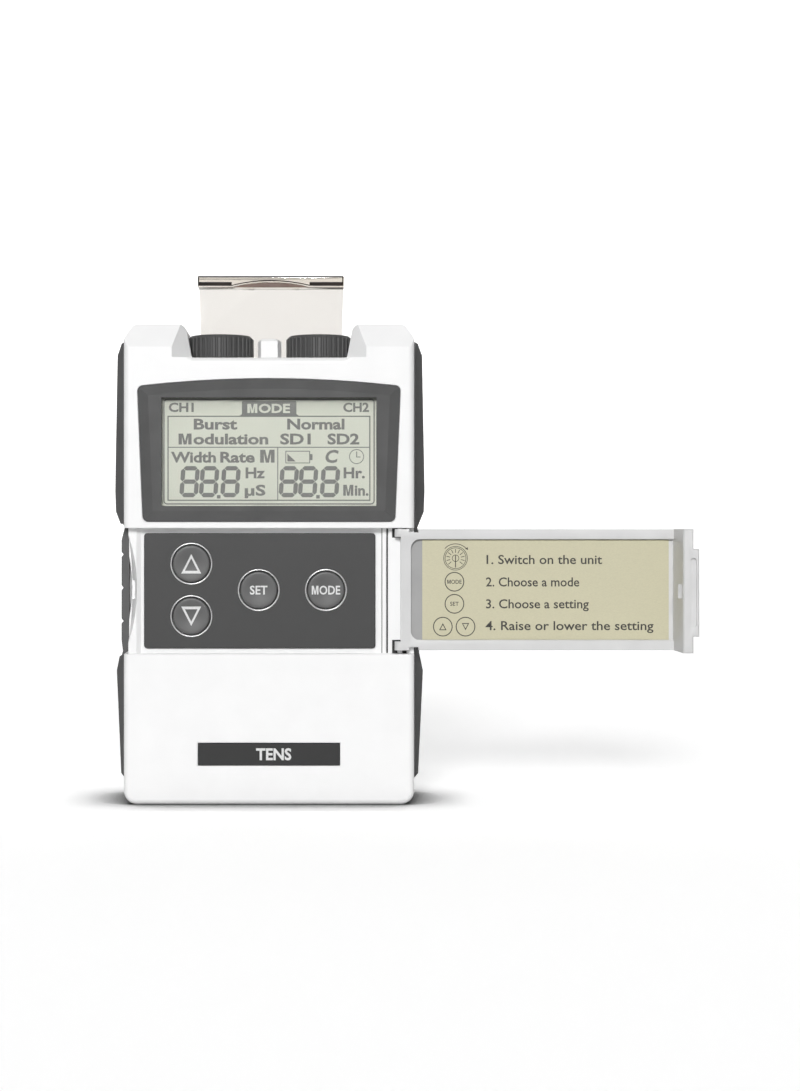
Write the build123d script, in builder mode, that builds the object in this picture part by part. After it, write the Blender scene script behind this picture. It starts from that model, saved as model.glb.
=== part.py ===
from build123d import *
from math import cos, pi, radians, sin
import os

os.makedirs("parts", exist_ok=True)

# A hand-held two-channel nerve stimulator, standing on its bottom face.
# X runs to the right, Y runs from the front to the back, Z runs up, in millimetres.
# The origin is the centre of the bottom face.

# ---------------------------------------------------------------- driving dimensions
BODY_HALF = 30.5  # half of the 61 mm wide case
BODY_DEPTH = 24.5
BODY_HEIGHT = 101.0
FRONT_Y = -BODY_DEPTH / 2
BACK_Y = BODY_DEPTH / 2
WALL = 1.8
EDGE_ROUND = 1.2  # round along the front and back outlines
FOOT_ROUND = 2.9
PARTING_Y = 3.0  # the two shells meet here

# The dial recess between the two horns
DECK_Z = 93.9
CHANNEL_HALF = 16.4
HORN_TOP_IN = 17.7
HORN_TOP_OUT = 28.5
HORN_SHOULDER_Z = 98.0
HORN_BEVEL_Z = 96.1
HORN_BEVEL_DEPTH = 2.0
FLARE_HALF = 20.4  # where the flared mouth of the recess starts on the front face
FLARE_DEPTH = 4.2
REAR_STEP_Y = 6.9  # behind this the deck steps down for the cover's hinge
REAR_STEP_Z = 91.8

# The keypad recess across the front
RECESS_LOW = 31.6
RECESS_HIGH = 58.1
RAIL_Y = -9.65
POCKET_Y = -9.1
FLOOR_BACK_Y = -7.95
FLANK_X = -29.7  # left flank, cut back for the closed cover's end wall
FLANK_BACK_Y = 2.0
POCKET_LEFT = -28.0
POCKET_RIGHT = 25.3
POCKET_SLOPE = 0.9
BEAD_X = (24.0, 24.6)  # upright bead beside the cover's hinge
KNUCKLE_POCKET_X = (25.9, 29.0)
KNUCKLE_POCKET_DEPTH = 0.75
SCALLOP_R = 37.0
SCALLOP_EDGE_X = -28.4
SCALLOP_TILT = radians(9.7)
SCALLOP_Z = 45.25
SCALLOP_HALF = 7.6
CATCH_Y = (-5.6, 0.8)
CATCH_Z = (42.9, 47.2)
CATCH_FLOOR_X = -28.7

# Keypad
PANEL_LEFT = -26.4
PANEL_RIGHT = 22.4
PANEL_LOW = 32.7
PANEL_HIGH = 57.0
PANEL_FRONT_Y = -9.72
CAP_R = 3.92
RING_IN_R = 4.08
RING_OUT_R = 4.45
CAP_FRONT_Y = -10.5
BUTTON_TRAVEL = 0.4
BUTTONS = {
    "up": (-16.4, 50.55),
    "down": (-16.4, 39.5),
    "set": (-2.2, 45.0),
    "mode": (11.97, 45.0),
}

# Display
BEZEL_LOW = 59.4
BEZEL_HIGH = 87.8
BEZEL_CROWN = 89.4
BEZEL_LOW_HALF = 26.45
BEZEL_HIGH_HALF = 27.6
BEZEL_FRONT_Y = -12.95
BEZEL_BACK_Y = -11.65
BEZEL_RIM = 2.6
WINDOW_HALF = 22.5
WINDOW_LOW = 62.7
WINDOW_HIGH = 85.4

# Keypad cover, hinged at the right of the recess and shown open
COVER_AXIS = (27.5, -11.0)
COVER_LEFT = 27.65
COVER_END_IN = 84.9
COVER_END_OUT = 87.0
COVER_LOW = 32.4
COVER_HIGH = 57.85
COVER_BACK_Y = -9.8
COVER_PLATE_Y = -10.9
COVER_RIM_Y = -12.05
COVER_RIM = 2.1
END_WALL_Y = -23.75
LABEL_THICK = 0.15
PIN_R = 0.5
PIN_CLEARANCE = 0.06

# Dial cover, hinged behind the dials and shown open
DIAL_AXIS = (8.45, 93.35)
DIAL_COVER_HALF_LOW = 15.4
DIAL_COVER_HALF_HIGH = 16.1
DIAL_COVER_PLATE = (14.9, 16.1)
DIAL_COVER_TOP = 113.3
DIAL_COVER_LIP = 2.2
DIAL_COVER_LIP_Y = 9.3
DIAL_COVER_FLOOR = 92.15
DIAL_BARREL_R = 1.12
HINGE_PIN_R = 0.6

# Dials
DIAL_X = 10.6
DIAL_Y = -0.5
DIAL_R = 7.1
DIAL_LOW = 94.25
DIAL_HIGH = 99.2
DIAL_TEETH = 38
SHAFT_R = 1.5

# Output sockets in the horn tops
JACK_X = 23.3
JACK_Y = 0.0
JACK_R = 3.6
JACK_BORE_R = 1.25
JACK_BORE_DEPTH = 11.0

# Circuit board behind the keypad
BOARD_HALF = 22.3
BOARD_LOW = 33.4
BOARD_HIGH = 83.4
BOARD_FRONT_Y = -4.4
BOARD_BACK_Y = -3.2

# Screws: lower pair beside the keypad, upper pair beside the dials
CASE_SCREWS = [(-25.2, 36.5), (25.2, 36.5), (-16.9, 89.2), (16.9, 89.2)]
BOARD_SCREWS = [(-20.3, 34.9), (20.3, 34.9), (-20.3, 58.3), (20.3, 58.3)]
CLIP_SCREWS = [(0.0, 69.0), (0.0, 85.0)]

# Battery bay and its door
BAY_TOP = 31.3
DOOR_HALF = 26.2
DOOR_AXIS = (11.3, 3.35)
DOOR_R = 0.95
DOOR_TOP = 33.2
DOOR_GAP = 0.3

# Belt clip
CLIP_AXIS = (15.6, 80.0)
CLIP_HALF = 7.5
CLIP_PIN_R = 0.7


# ---------------------------------------------------------------- small helpers
def front_plane(y):
    """Sketch plane at depth y that faces the user: its x is X and its y is Z."""
    return Plane.XZ.offset(-y)


def patch(x_range, y_range, mode=Mode.ADD):
    """Draw a rectangle between two corners in the open sketch."""
    middle = (sum(x_range) / 2, sum(y_range) / 2)
    with Locations(middle):
        Rectangle(x_range[1] - x_range[0], y_range[1] - y_range[0], mode=mode)


def block(x_range, y_range, z_range, mode=Mode.ADD):
    """Add a box to the open part between two limits along each axis."""
    with Locations((sum(x_range) / 2, sum(y_range) / 2, sum(z_range) / 2)):
        Box(x_range[1] - x_range[0], y_range[1] - y_range[0], z_range[1] - z_range[0], mode=mode)


def rod_x(y, z, radius, x_range, mode=Mode.ADD):
    """Add a round bar along X to the open part."""
    with Locations((sum(x_range) / 2, y, z)):
        Cylinder(radius, x_range[1] - x_range[0], rotation=(0, 90, 0), mode=mode)


def rod_y(x, z, radius, y_range, mode=Mode.ADD):
    """Add a round bar along Y to the open part."""
    with Locations((x, sum(y_range) / 2, z)):
        Cylinder(radius, y_range[1] - y_range[0], rotation=(90, 0, 0), mode=mode)


def rod_z(x, y, radius, z_range, mode=Mode.ADD):
    """Add a round bar along Z to the open part."""
    with Locations((x, y, sum(z_range) / 2)):
        Cylinder(radius, z_range[1] - z_range[0], mode=mode)


# ---------------------------------------------------------------- outer form of the case
# The right half of the front outline, from the foot to the deck.
half_outline = [
    (BODY_HALF, 0),
    (BODY_HALF, HORN_SHOULDER_Z),
    (HORN_TOP_OUT, BODY_HEIGHT),
    (HORN_TOP_IN, BODY_HEIGHT),
    (CHANNEL_HALF, DECK_Z),
]
half_rounds = [FOOT_ROUND, 1.9, 1.7, 1.7, 0.8]
outline = half_outline + [(-x, z) for x, z in reversed(half_outline)]
outline_rounds = half_rounds + list(reversed(half_rounds))

with BuildPart() as body_form:
    with BuildSketch(Plane.XZ):
        with BuildLine():
            FilletPolyline(*outline, radius=outline_rounds, close=True)
        make_face()
    extrude(amount=BODY_DEPTH / 2, both=True)
    end_faces = body_form.faces().filter_by(Axis.Y)
    fillet(end_faces.edges(), radius=EDGE_ROUND)
    # the horns lean back above a crease
    with BuildSketch(Plane.YZ):
        with BuildLine():
            Polyline(
                (FRONT_Y - 1, HORN_BEVEL_Z),
                (FRONT_Y, HORN_BEVEL_Z),
                (FRONT_Y + HORN_BEVEL_DEPTH, BODY_HEIGHT + 0.1),
                (FRONT_Y - 1, BODY_HEIGHT + 0.1),
                close=True,
            )
        make_face()
    extrude(amount=BODY_HALF + 1, both=True, mode=Mode.SUBTRACT)
    # the recess opens out towards the user
    for side in (-1, 1):
        with BuildSketch(Plane.XY.offset(DECK_Z)):
            with BuildLine():
                Polyline(
                    (side * (CHANNEL_HALF - 1), FRONT_Y - 1),
                    (side * (FLARE_HALF + 1), FRONT_Y - 1),
                    (side * FLARE_HALF, FRONT_Y),
                    (side * (CHANNEL_HALF + 0.2), FRONT_Y + FLARE_DEPTH),
                    (side * (CHANNEL_HALF - 1), FRONT_Y + FLARE_DEPTH),
                    close=True,
                )
            make_face()
        extrude(amount=BODY_HEIGHT - DECK_Z + 1, mode=Mode.SUBTRACT)
    # round pockets that give the dials room in the walls of the horns
    for side in (-1, 1):
        rod_z(side * DIAL_X, DIAL_Y, DIAL_R + 0.35, (DECK_Z, BODY_HEIGHT + 1), Mode.SUBTRACT)
    # rear step for the hinge of the dial cover
    step_y = (REAR_STEP_Y, BACK_Y + 1)
    block((-CHANNEL_HALF, CHANNEL_HALF), step_y, (REAR_STEP_Z, DECK_Z + 0.5), Mode.SUBTRACT)
    # keypad recess across the whole width, and the pocket that holds the keypad panel
    block((-BODY_HALF - 1, BODY_HALF + 1), (FRONT_Y - 1, RAIL_Y), (RECESS_LOW, RECESS_HIGH), Mode.SUBTRACT)
    with BuildSketch(Plane.XY.offset(RECESS_LOW)):
        with BuildLine():
            Polyline(
                (POCKET_LEFT, RAIL_Y - 0.1),
                (POCKET_LEFT, RAIL_Y),
                (POCKET_LEFT + POCKET_SLOPE, POCKET_Y),
                (POCKET_RIGHT, POCKET_Y),
                (POCKET_RIGHT, RAIL_Y - 0.1),
                close=True,
            )
        make_face()
    extrude(amount=RECESS_HIGH - RECESS_LOW, mode=Mode.SUBTRACT)
    block(BEAD_X, (RAIL_Y, POCKET_Y), (RECESS_LOW, RECESS_HIGH))
    # left flank cut back for the end wall of the closed cover
    block((-BODY_HALF - 1, FLANK_X), (FRONT_Y - 1, FLANK_BACK_Y), (RECESS_LOW, RECESS_HIGH), Mode.SUBTRACT)
    # finger scallop that lets a nail reach behind the closed cover
    scallop_plane = Plane(
        origin=(SCALLOP_EDGE_X - SCALLOP_R, RAIL_Y, SCALLOP_Z),
        x_dir=(0, 0, 1),
        z_dir=(-sin(SCALLOP_TILT), cos(SCALLOP_TILT), 0),
    )
    with BuildSketch(scallop_plane):
        Circle(SCALLOP_R)
    extrude(amount=SCALLOP_HALF, both=True, mode=Mode.SUBTRACT)
    # catch slot for the hook of the closed cover
    block((FLANK_X - 0.1, CATCH_FLOOR_X), CATCH_Y, CATCH_Z, Mode.SUBTRACT)

# ---------------------------------------------------------------- inside of the case
ROOM_HALF = BODY_HALF - 2.3
ROOM_TOP = DECK_Z - 2.0
SCALLOP_WALL_X = -26.6
HORN_ROOM_X = (19.1, 28.2)
HORN_ROOM_Y = (-8.0, 8.0)
with BuildPart() as body_cavity:
    across = (-ROOM_HALF, ROOM_HALF)
    block(across, (FLOOR_BACK_Y, BACK_Y - WALL), (WALL, ROOM_TOP))
    # the left wall is thicker behind the scallop
    block(
        (-ROOM_HALF - 1, SCALLOP_WALL_X),
        (FLOOR_BACK_Y - 1, FLANK_BACK_Y + 0.4),
        (RECESS_LOW + 1.4, RECESS_HIGH - 0.1),
        Mode.SUBTRACT,
    )
    # the deck is lower at the back
    block(
        (-CHANNEL_HALF - WALL, CHANNEL_HALF + WALL),
        (REAR_STEP_Y - WALL, BACK_Y),
        (REAR_STEP_Z - WALL, DECK_Z),
        Mode.SUBTRACT,
    )
    # deeper front rooms below and above the keypad recess
    block(across, (FRONT_Y + WALL, FLOOR_BACK_Y), (WALL, RECESS_LOW - WALL))
    block(across, (FRONT_Y + WALL, FLOOR_BACK_Y), (RECESS_HIGH + WALL, ROOM_TOP))
    # rooms in the horns for the output sockets
    for side in (-1, 1):
        horn_room_x = sorted(side * x for x in HORN_ROOM_X)
        block(horn_room_x, HORN_ROOM_Y, (ROOM_TOP - 0.1, BODY_HEIGHT - 2.2))

# ---------------------------------------------------------------- display bezel outline
with BuildSketch() as bezel_sharp:
    with BuildLine():
        low_edge = Line((-BEZEL_LOW_HALF, BEZEL_LOW), (BEZEL_LOW_HALF, BEZEL_LOW))
        Line(low_edge @ 1, (BEZEL_HIGH_HALF, BEZEL_HIGH))
        ThreePointArc((BEZEL_HIGH_HALF, BEZEL_HIGH), (0, BEZEL_CROWN), (-BEZEL_HIGH_HALF, BEZEL_HIGH))
        Line((-BEZEL_HIGH_HALF, BEZEL_HIGH), low_edge @ 0)
    make_face()

with BuildSketch() as bezel_outline:
    add(bezel_sharp.sketch)
    fillet(bezel_outline.vertices(), radius=1.2)

# ---------------------------------------------------------------- front shell
POST_HALF = (1.75, 2.45)  # latch post: half width in front and behind
POST_Y = (-8.4, -6.2, -1.6)
POST_HEIGHT = 4.4
NAME_PLATE_HALF = 14.9
NAME_PLATE_Z = (8.3, 13.0)
PLATE_SEAT_DEPTH = 0.35
PLATE_GAP = 0.1
LCD_OPENING = ((-24.6, 24.6), (61.0, 87.1))
CASE_PILOT_R = 0.95
BOARD_PILOT_R = 0.75
CASE_THREAD_FRONT_Y = -6.6
with BuildPart() as front_shell:
    add(body_form.part)
    add(body_cavity.part, mode=Mode.SUBTRACT)
    split(bisect_by=front_plane(PARTING_Y), keep=Keep.TOP)
    # latch post between the dials, wider at the back
    with BuildSketch(Plane.XY.offset(DECK_Z - 0.2)):
        with BuildLine():
            Polyline(
                (-POST_HALF[0], POST_Y[0]),
                (POST_HALF[0], POST_Y[0]),
                (POST_HALF[1], POST_Y[1]),
                (POST_HALF[1], POST_Y[2]),
                (-POST_HALF[1], POST_Y[2]),
                (-POST_HALF[1], POST_Y[1]),
                close=True,
            )
        make_face()
    extrude(amount=POST_HEIGHT)
    level_faces = front_shell.faces().filter_by(Axis.Z)
    post_top = level_faces.filter_by(lambda f: abs(f.center().X) < 1 and f.center().Z > DECK_Z + 4)
    chamfer(post_top.edges(), length=0.5)
    # seat and opening for the display bezel
    with BuildSketch(front_plane(BEZEL_BACK_Y)):
        add(bezel_outline.sketch)
        offset(amount=0.12)
    extrude(amount=3, mode=Mode.SUBTRACT)
    block(LCD_OPENING[0], (FRONT_Y - 1, FRONT_Y + WALL + 0.5), LCD_OPENING[1], Mode.SUBTRACT)
    # seat for the name plate
    block(
        (-NAME_PLATE_HALF - PLATE_GAP, NAME_PLATE_HALF + PLATE_GAP),
        (FRONT_Y - 1, FRONT_Y + PLATE_SEAT_DEPTH),
        (NAME_PLATE_Z[0] - PLATE_GAP, NAME_PLATE_Z[1] + PLATE_GAP),
        Mode.SUBTRACT,
    )
    # holes for the push buttons
    for x, z in BUTTONS.values():
        rod_y(x, z, RING_IN_R, (POCKET_Y - 1, FLOOR_BACK_Y + 1), Mode.SUBTRACT)
    # knuckle pockets and pin holes of the keypad cover
    for z_range in ((RECESS_LOW, 34.5), (56.0, RECESS_HIGH)):
        block(KNUCKLE_POCKET_X, (RAIL_Y - 1, RAIL_Y + KNUCKLE_POCKET_DEPTH), z_range, Mode.SUBTRACT)
    rod_z(*COVER_AXIS, PIN_R + PIN_CLEARANCE, (RECESS_LOW - 1.5, RECESS_HIGH + 1.5), Mode.SUBTRACT)
    # screw bosses
    for x, z in CASE_SCREWS[:2]:
        rod_y(x, z, 2.3, (FLOOR_BACK_Y - 0.1, PARTING_Y))
    for x, z in CASE_SCREWS[2:]:
        rod_y(x, z, 1.75, (FRONT_Y + WALL - 0.1, PARTING_Y))
    for x, z in BOARD_SCREWS:
        rod_y(x, z, 1.5, (FLOOR_BACK_Y - 0.1, BOARD_FRONT_Y))
        rod_y(x, z, BOARD_PILOT_R, (FLOOR_BACK_Y + 0.2, BOARD_FRONT_Y), Mode.SUBTRACT)
    for x, z in CASE_SCREWS:
        rod_y(x, z, CASE_PILOT_R, (CASE_THREAD_FRONT_Y, PARTING_Y), Mode.SUBTRACT)
    # shaft holes in the deck and socket holes in the horns
    for side in (-1, 1):
        rod_z(side * DIAL_X, DIAL_Y, 2.2, (DECK_Z - 2.5, DECK_Z + 0.5), Mode.SUBTRACT)
        rod_z(side * JACK_X, JACK_Y, JACK_R, (BODY_HEIGHT - 3, BODY_HEIGHT + 1), Mode.SUBTRACT)
front_shell.part.label = "front_shell"
export_step(front_shell.part, "parts/front_shell.step")

# ---------------------------------------------------------------- rear shell
SCREW_SINK_Y = 8.3
LATCH_LINES_Z = 35.6
LATCH_LINE_PITCH = 1.6
with BuildPart() as rear_shell:
    add(body_form.part)
    add(body_cavity.part, mode=Mode.SUBTRACT)
    split(bisect_by=front_plane(PARTING_Y), keep=Keep.BOTTOM)
    # opening for the battery door, with pin holes at its foot
    block(
        (-DOOR_HALF - DOOR_GAP, DOOR_HALF + DOOR_GAP),
        (BACK_Y - WALL - 0.1, BACK_Y + 1),
        (DOOR_AXIS[1] - DOOR_R - DOOR_GAP, DOOR_TOP + DOOR_GAP),
        Mode.SUBTRACT,
    )
    rod_x(*DOOR_AXIS, PIN_R + PIN_CLEARANCE, (-27.7, 27.7), Mode.SUBTRACT)
    # screw bosses with sunk heads
    for x, z in CASE_SCREWS:
        rod_y(x, z, 2.35, (PARTING_Y, BACK_Y - WALL + 0.1))
    for x, z in CASE_SCREWS:
        rod_y(x, z, 1.15, (PARTING_Y, BACK_Y), Mode.SUBTRACT)
        rod_y(x, z, 1.95, (SCREW_SINK_Y, BACK_Y + 1), Mode.SUBTRACT)
    for x, z in CLIP_SCREWS:
        rod_y(x, z, 2.2, (BACK_Y - 4.0, BACK_Y - WALL + 0.1))
        rod_y(x, z, 0.95, (BACK_Y - 3.6, BACK_Y), Mode.SUBTRACT)
    # pin holes of the dial cover and the rear halves of the socket holes
    rod_x(*DIAL_AXIS, HINGE_PIN_R + PIN_CLEARANCE, (-18.3, 18.3), Mode.SUBTRACT)
    for side in (-1, 1):
        rod_z(side * JACK_X, JACK_Y, JACK_R, (BODY_HEIGHT - 3, BODY_HEIGHT + 1), Mode.SUBTRACT)
    # grip lines on the latch end above the door
    for step in range(3):
        line_z = LATCH_LINES_Z + LATCH_LINE_PITCH * step
        block((-6.0, 6.0), (BACK_Y - 0.4, BACK_Y + 1), (line_z, line_z + 0.7), Mode.SUBTRACT)
rear_shell.part.label = "rear_shell"
export_step(rear_shell.part, "parts/rear_shell.step")

# ---------------------------------------------------------------- soft side grips
# Outer outline of a grip seen from the front: reach from the middle at each height.
GRIP_Y = (-5.0, 10.2)
GRIP_FLANK_Y = 2.4  # beside the keypad recess the left grip stays behind the closed cover
GRIP_NOTCHES = (38.0, 45.2, 52.4)
GRIP_REACH = 33.25  # furthest from the middle
NOTCH_FLOOR_X = 31.75
NOTCH_MOUTH_X = 32.4
NOTCH_HALF = 0.75
grip_outline = [
    (BODY_HALF, 4.6),
    (31.7, 5.8),
    (32.8, 27.6),
    (31.9, 31.6),
    (32.2, 34.0),
    (32.2, 55.5),
    (31.5, 58.2),
    (33.0, 61.6),
    (33.2, 66.0),
    (32.6, 95.0),
    (31.6, 97.4),
    (BODY_HALF, 97.9),
]
for side, name in ((-1, "left_grip"), (1, "right_grip")):
    with BuildPart() as grip:
        with BuildSketch(Plane.XZ.offset(-GRIP_Y[1])):
            with BuildLine():
                Polyline(*[(side * x, z) for x, z in grip_outline], close=True)
            make_face()
        extrude(amount=GRIP_Y[1] - GRIP_Y[0])
        # seen from above the grip is rounded off towards the front and the back
        with BuildSketch(Plane.XY) as plan:
            with BuildLine():
                Polyline(
                    (side * (BODY_HALF - 1), GRIP_Y[0]),
                    (side * (BODY_HALF + 0.6), GRIP_Y[0]),
                    (side * GRIP_REACH, GRIP_Y[0] + 3.4),
                    (side * GRIP_REACH, GRIP_Y[1] - 3.4),
                    (side * (BODY_HALF + 0.6), GRIP_Y[1]),
                    (side * (BODY_HALF - 1), GRIP_Y[1]),
                    close=True,
                )
            make_face()
            fillet(plan.vertices().filter_by(lambda v: abs(v.X) > GRIP_REACH - 0.2), radius=2.2)
        extrude(amount=BODY_HEIGHT, mode=Mode.INTERSECT)
        # finger grooves across the ribbed middle
        for z in GRIP_NOTCHES:
            with BuildSketch(Plane.XZ.offset(-GRIP_Y[1] - 1)):
                with BuildLine():
                    Polyline(
                        (side * NOTCH_MOUTH_X, z + NOTCH_HALF),
                        (side * NOTCH_FLOOR_X, z),
                        (side * NOTCH_MOUTH_X, z - NOTCH_HALF),
                        close=True,
                    )
                make_face()
            extrude(amount=GRIP_Y[1] - GRIP_Y[0] + 2, mode=Mode.SUBTRACT)
        if side < 0:
            beside_recess = (RECESS_LOW - 0.9, RECESS_HIGH + 0.9)
            block((-34, -30), (-6, GRIP_FLANK_Y), beside_recess, Mode.SUBTRACT)
    grip.part.label = name
    export_step(grip.part, f"parts/{name}.step")

# ---------------------------------------------------------------- case screws
SCREW_HEAD_HEIGHT = 1.4
with BuildPart() as case_screws:
    for x, z in CASE_SCREWS:
        rod_y(x, z, 0.9, (CASE_THREAD_FRONT_Y + 0.4, SCREW_SINK_Y + 0.05))
        rod_y(x, z, 1.85, (SCREW_SINK_Y, SCREW_SINK_Y + SCREW_HEAD_HEIGHT))
        rod_y(x, z, 0.55, (SCREW_SINK_Y + 0.8, SCREW_SINK_Y + SCREW_HEAD_HEIGHT + 0.1), Mode.SUBTRACT)
case_screws.part.label = "case_screws"
export_step(case_screws.part, "parts/case_screws.step")

# ---------------------------------------------------------------- plates and labels
with BuildPart() as name_plate:
    block((-NAME_PLATE_HALF, NAME_PLATE_HALF), (FRONT_Y - 0.1, FRONT_Y + PLATE_SEAT_DEPTH), NAME_PLATE_Z)
    chamfer(name_plate.faces().sort_by(Axis.Y)[0].edges(), length=0.1)
name_plate.part.label = "name_plate"
export_step(name_plate.part, "parts/name_plate.step")

RATING_CENTRE = (20.0, 62.0)
RATING_SIZE = (13.0, 34.0)
with BuildPart() as rating_plate:
    with BuildSketch(Plane.XZ.offset(-BACK_Y - LABEL_THICK)):
        with Locations(RATING_CENTRE):
            RectangleRounded(*RATING_SIZE, 1.0)
    extrude(amount=LABEL_THICK)
rating_plate.part.label = "rating_plate"
export_step(rating_plate.part, "parts/rating_plate.step")

# ---------------------------------------------------------------- display
WINDOW_RISE = 0.3
WINDOW_FLANGE = 0.4
WINDOW_CLEARANCE = 0.08
LCD_HALF = 24.2
LCD_Y = (-11.05, -9.85)
LCD_Z = (61.4, 86.7)
REFLECTOR_BACK_Y = -9.25
HOLDER_POCKET_Y = -8.3
HOLDER_BACK_Y = -6.2
ZEBRA_HALF = 21.4
ZEBRA_Z = (62.0, 63.5)
with BuildPart() as display_bezel:
    with BuildSketch(front_plane(BEZEL_BACK_Y)):
        add(bezel_sharp.sketch)
    extrude(amount=BEZEL_BACK_Y - BEZEL_FRONT_Y)
    front_face = display_bezel.faces().sort_by(Axis.Y)[0]
    chamfer(front_face.edges(), length=BEZEL_RIM - 0.4, length2=0.75, reference=front_face)
    with BuildSketch(front_plane(BEZEL_BACK_Y)):
        add(bezel_outline.sketch)
    extrude(amount=BEZEL_BACK_Y - BEZEL_FRONT_Y, mode=Mode.INTERSECT)
    block((-WINDOW_HALF, WINDOW_HALF), (-14, -11), (WINDOW_LOW, WINDOW_HIGH), Mode.SUBTRACT)
display_bezel.part.label = "display_bezel"
export_step(display_bezel.part, "parts/display_bezel.step")

with BuildPart() as display_window:
    block(
        (-LCD_HALF - 0.2, LCD_HALF + 0.2),
        (BEZEL_BACK_Y, BEZEL_BACK_Y + WINDOW_FLANGE),
        (LCD_Z[0] - 0.2, LCD_Z[1] + 0.2),
    )
    # the raised middle of the window fills the opening of the bezel
    block(
        (-WINDOW_HALF + WINDOW_CLEARANCE, WINDOW_HALF - WINDOW_CLEARANCE),
        (BEZEL_BACK_Y - WINDOW_RISE, BEZEL_BACK_Y),
        (WINDOW_LOW + WINDOW_CLEARANCE, WINDOW_HIGH - WINDOW_CLEARANCE),
    )
display_window.part.label = "display_window"
export_step(display_window.part, "parts/display_window.step")

with BuildPart() as lcd_glass:
    block((-LCD_HALF, LCD_HALF), LCD_Y, LCD_Z)
lcd_glass.part.label = "lcd_glass"
export_step(lcd_glass.part, "parts/lcd_glass.step")

with BuildPart() as lcd_reflector:
    block((-LCD_HALF + 0.4, LCD_HALF - 0.4), (LCD_Y[1], REFLECTOR_BACK_Y), (ZEBRA_Z[1] + 0.1, LCD_Z[1] - 0.4))
lcd_reflector.part.label = "lcd_reflector"
export_step(lcd_reflector.part, "parts/lcd_reflector.step")

with BuildPart() as lcd_holder:
    holder_z = (LCD_Z[0] - 1.3, LCD_Z[1] + 0.7)
    block((-LCD_HALF - 2.2, LCD_HALF + 2.2), (FRONT_Y + WALL, HOLDER_BACK_Y), holder_z)
    block(
        (-LCD_HALF - 0.1, LCD_HALF + 0.1),
        (FRONT_Y + WALL - 1, HOLDER_POCKET_Y),
        (LCD_Z[0] - 0.1, LCD_Z[1] + 0.1),
        Mode.SUBTRACT,
    )
    through = (HOLDER_POCKET_Y - 0.7, HOLDER_BACK_Y + 1.2)
    block((-22.0, 22.0), through, (ZEBRA_Z[1] + 0.3, LCD_Z[1] - 1.1), Mode.SUBTRACT)
    block((-ZEBRA_HALF - 0.2, ZEBRA_HALF + 0.2), through, (ZEBRA_Z[0] - 0.1, ZEBRA_Z[1] + 0.4), Mode.SUBTRACT)
lcd_holder.part.label = "lcd_holder"
export_step(lcd_holder.part, "parts/lcd_holder.step")

with BuildPart() as zebra_strip:
    block((-ZEBRA_HALF, ZEBRA_HALF), (LCD_Y[1], BOARD_FRONT_Y), ZEBRA_Z)
zebra_strip.part.label = "zebra_strip"
export_step(zebra_strip.part, "parts/zebra_strip.step")

# ---------------------------------------------------------------- keypad
with BuildPart() as keypad_panel:
    with BuildSketch(front_plane(POCKET_Y)):
        with Locations(((PANEL_LEFT + PANEL_RIGHT) / 2, (PANEL_LOW + PANEL_HIGH) / 2)):
            RectangleRounded(PANEL_RIGHT - PANEL_LEFT, PANEL_HIGH - PANEL_LOW, 0.7)
        with Locations(*BUTTONS.values()):
            Circle(RING_OUT_R, mode=Mode.SUBTRACT)
    extrude(amount=POCKET_Y - PANEL_FRONT_Y)
    rim = keypad_panel.faces().sort_by(Axis.Y)[0].outer_wire().edges()
    chamfer(rim, length=0.15)
keypad_panel.part.label = "keypad_panel"
export_step(keypad_panel.part, "parts/keypad_panel.step")

with BuildPart() as button_rings:
    for x, z in BUTTONS.values():
        rod_y(x, z, RING_OUT_R, (PANEL_FRONT_Y - 0.22, POCKET_Y))
        rod_y(x, z, RING_IN_R, (PANEL_FRONT_Y - 1, POCKET_Y + 1), Mode.SUBTRACT)
    chamfer(button_rings.faces().filter_by(Axis.Y).group_by(Axis.Y)[0].edges(), length=0.1)
button_rings.part.label = "button_rings"
export_step(button_rings.part, "parts/button_rings.step")

FLANGE_Y = (FLOOR_BACK_Y + 0.02, FLOOR_BACK_Y + 0.42)
FLANGE_R = 4.4
STEM_BACK_Y = -6.95
STEM_R = 1.3
PLUNGER_R = 1.72
PLUNGER_BACK_Y = -5.65
SWITCH_HALF = 3.0
SWITCH_FRONT_Y = -6.3
for use, (x, z) in BUTTONS.items():
    with BuildPart() as button:
        rod_y(x, z, CAP_R, (CAP_FRONT_Y, FLANGE_Y[0]))
        fillet(button.faces().sort_by(Axis.Y)[0].edges(), radius=0.3)
        rod_y(x, z, FLANGE_R, FLANGE_Y)
        rod_y(x, z, STEM_R, (FLANGE_Y[1], STEM_BACK_Y))
    button.part.label = f"{use}_button"
    export_step(button.part, f"parts/{use}_button.step")
    with BuildPart() as plunger:
        rod_y(x, z, PLUNGER_R, (STEM_BACK_Y, PLUNGER_BACK_Y))
    plunger.part.label = f"{use}_plunger"
    export_step(plunger.part, f"parts/{use}_plunger.step")

with BuildPart() as switch_bases:
    for x, z in BUTTONS.values():
        block(
            (x - SWITCH_HALF, x + SWITCH_HALF),
            (SWITCH_FRONT_Y, BOARD_FRONT_Y),
            (z - SWITCH_HALF, z + SWITCH_HALF),
        )
        rod_y(x, z, PLUNGER_R + 0.1, (SWITCH_FRONT_Y - 0.1, PLUNGER_BACK_Y + 0.65), Mode.SUBTRACT)
switch_bases.part.label = "switch_bases"
export_step(switch_bases.part, "parts/switch_bases.step")

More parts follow.
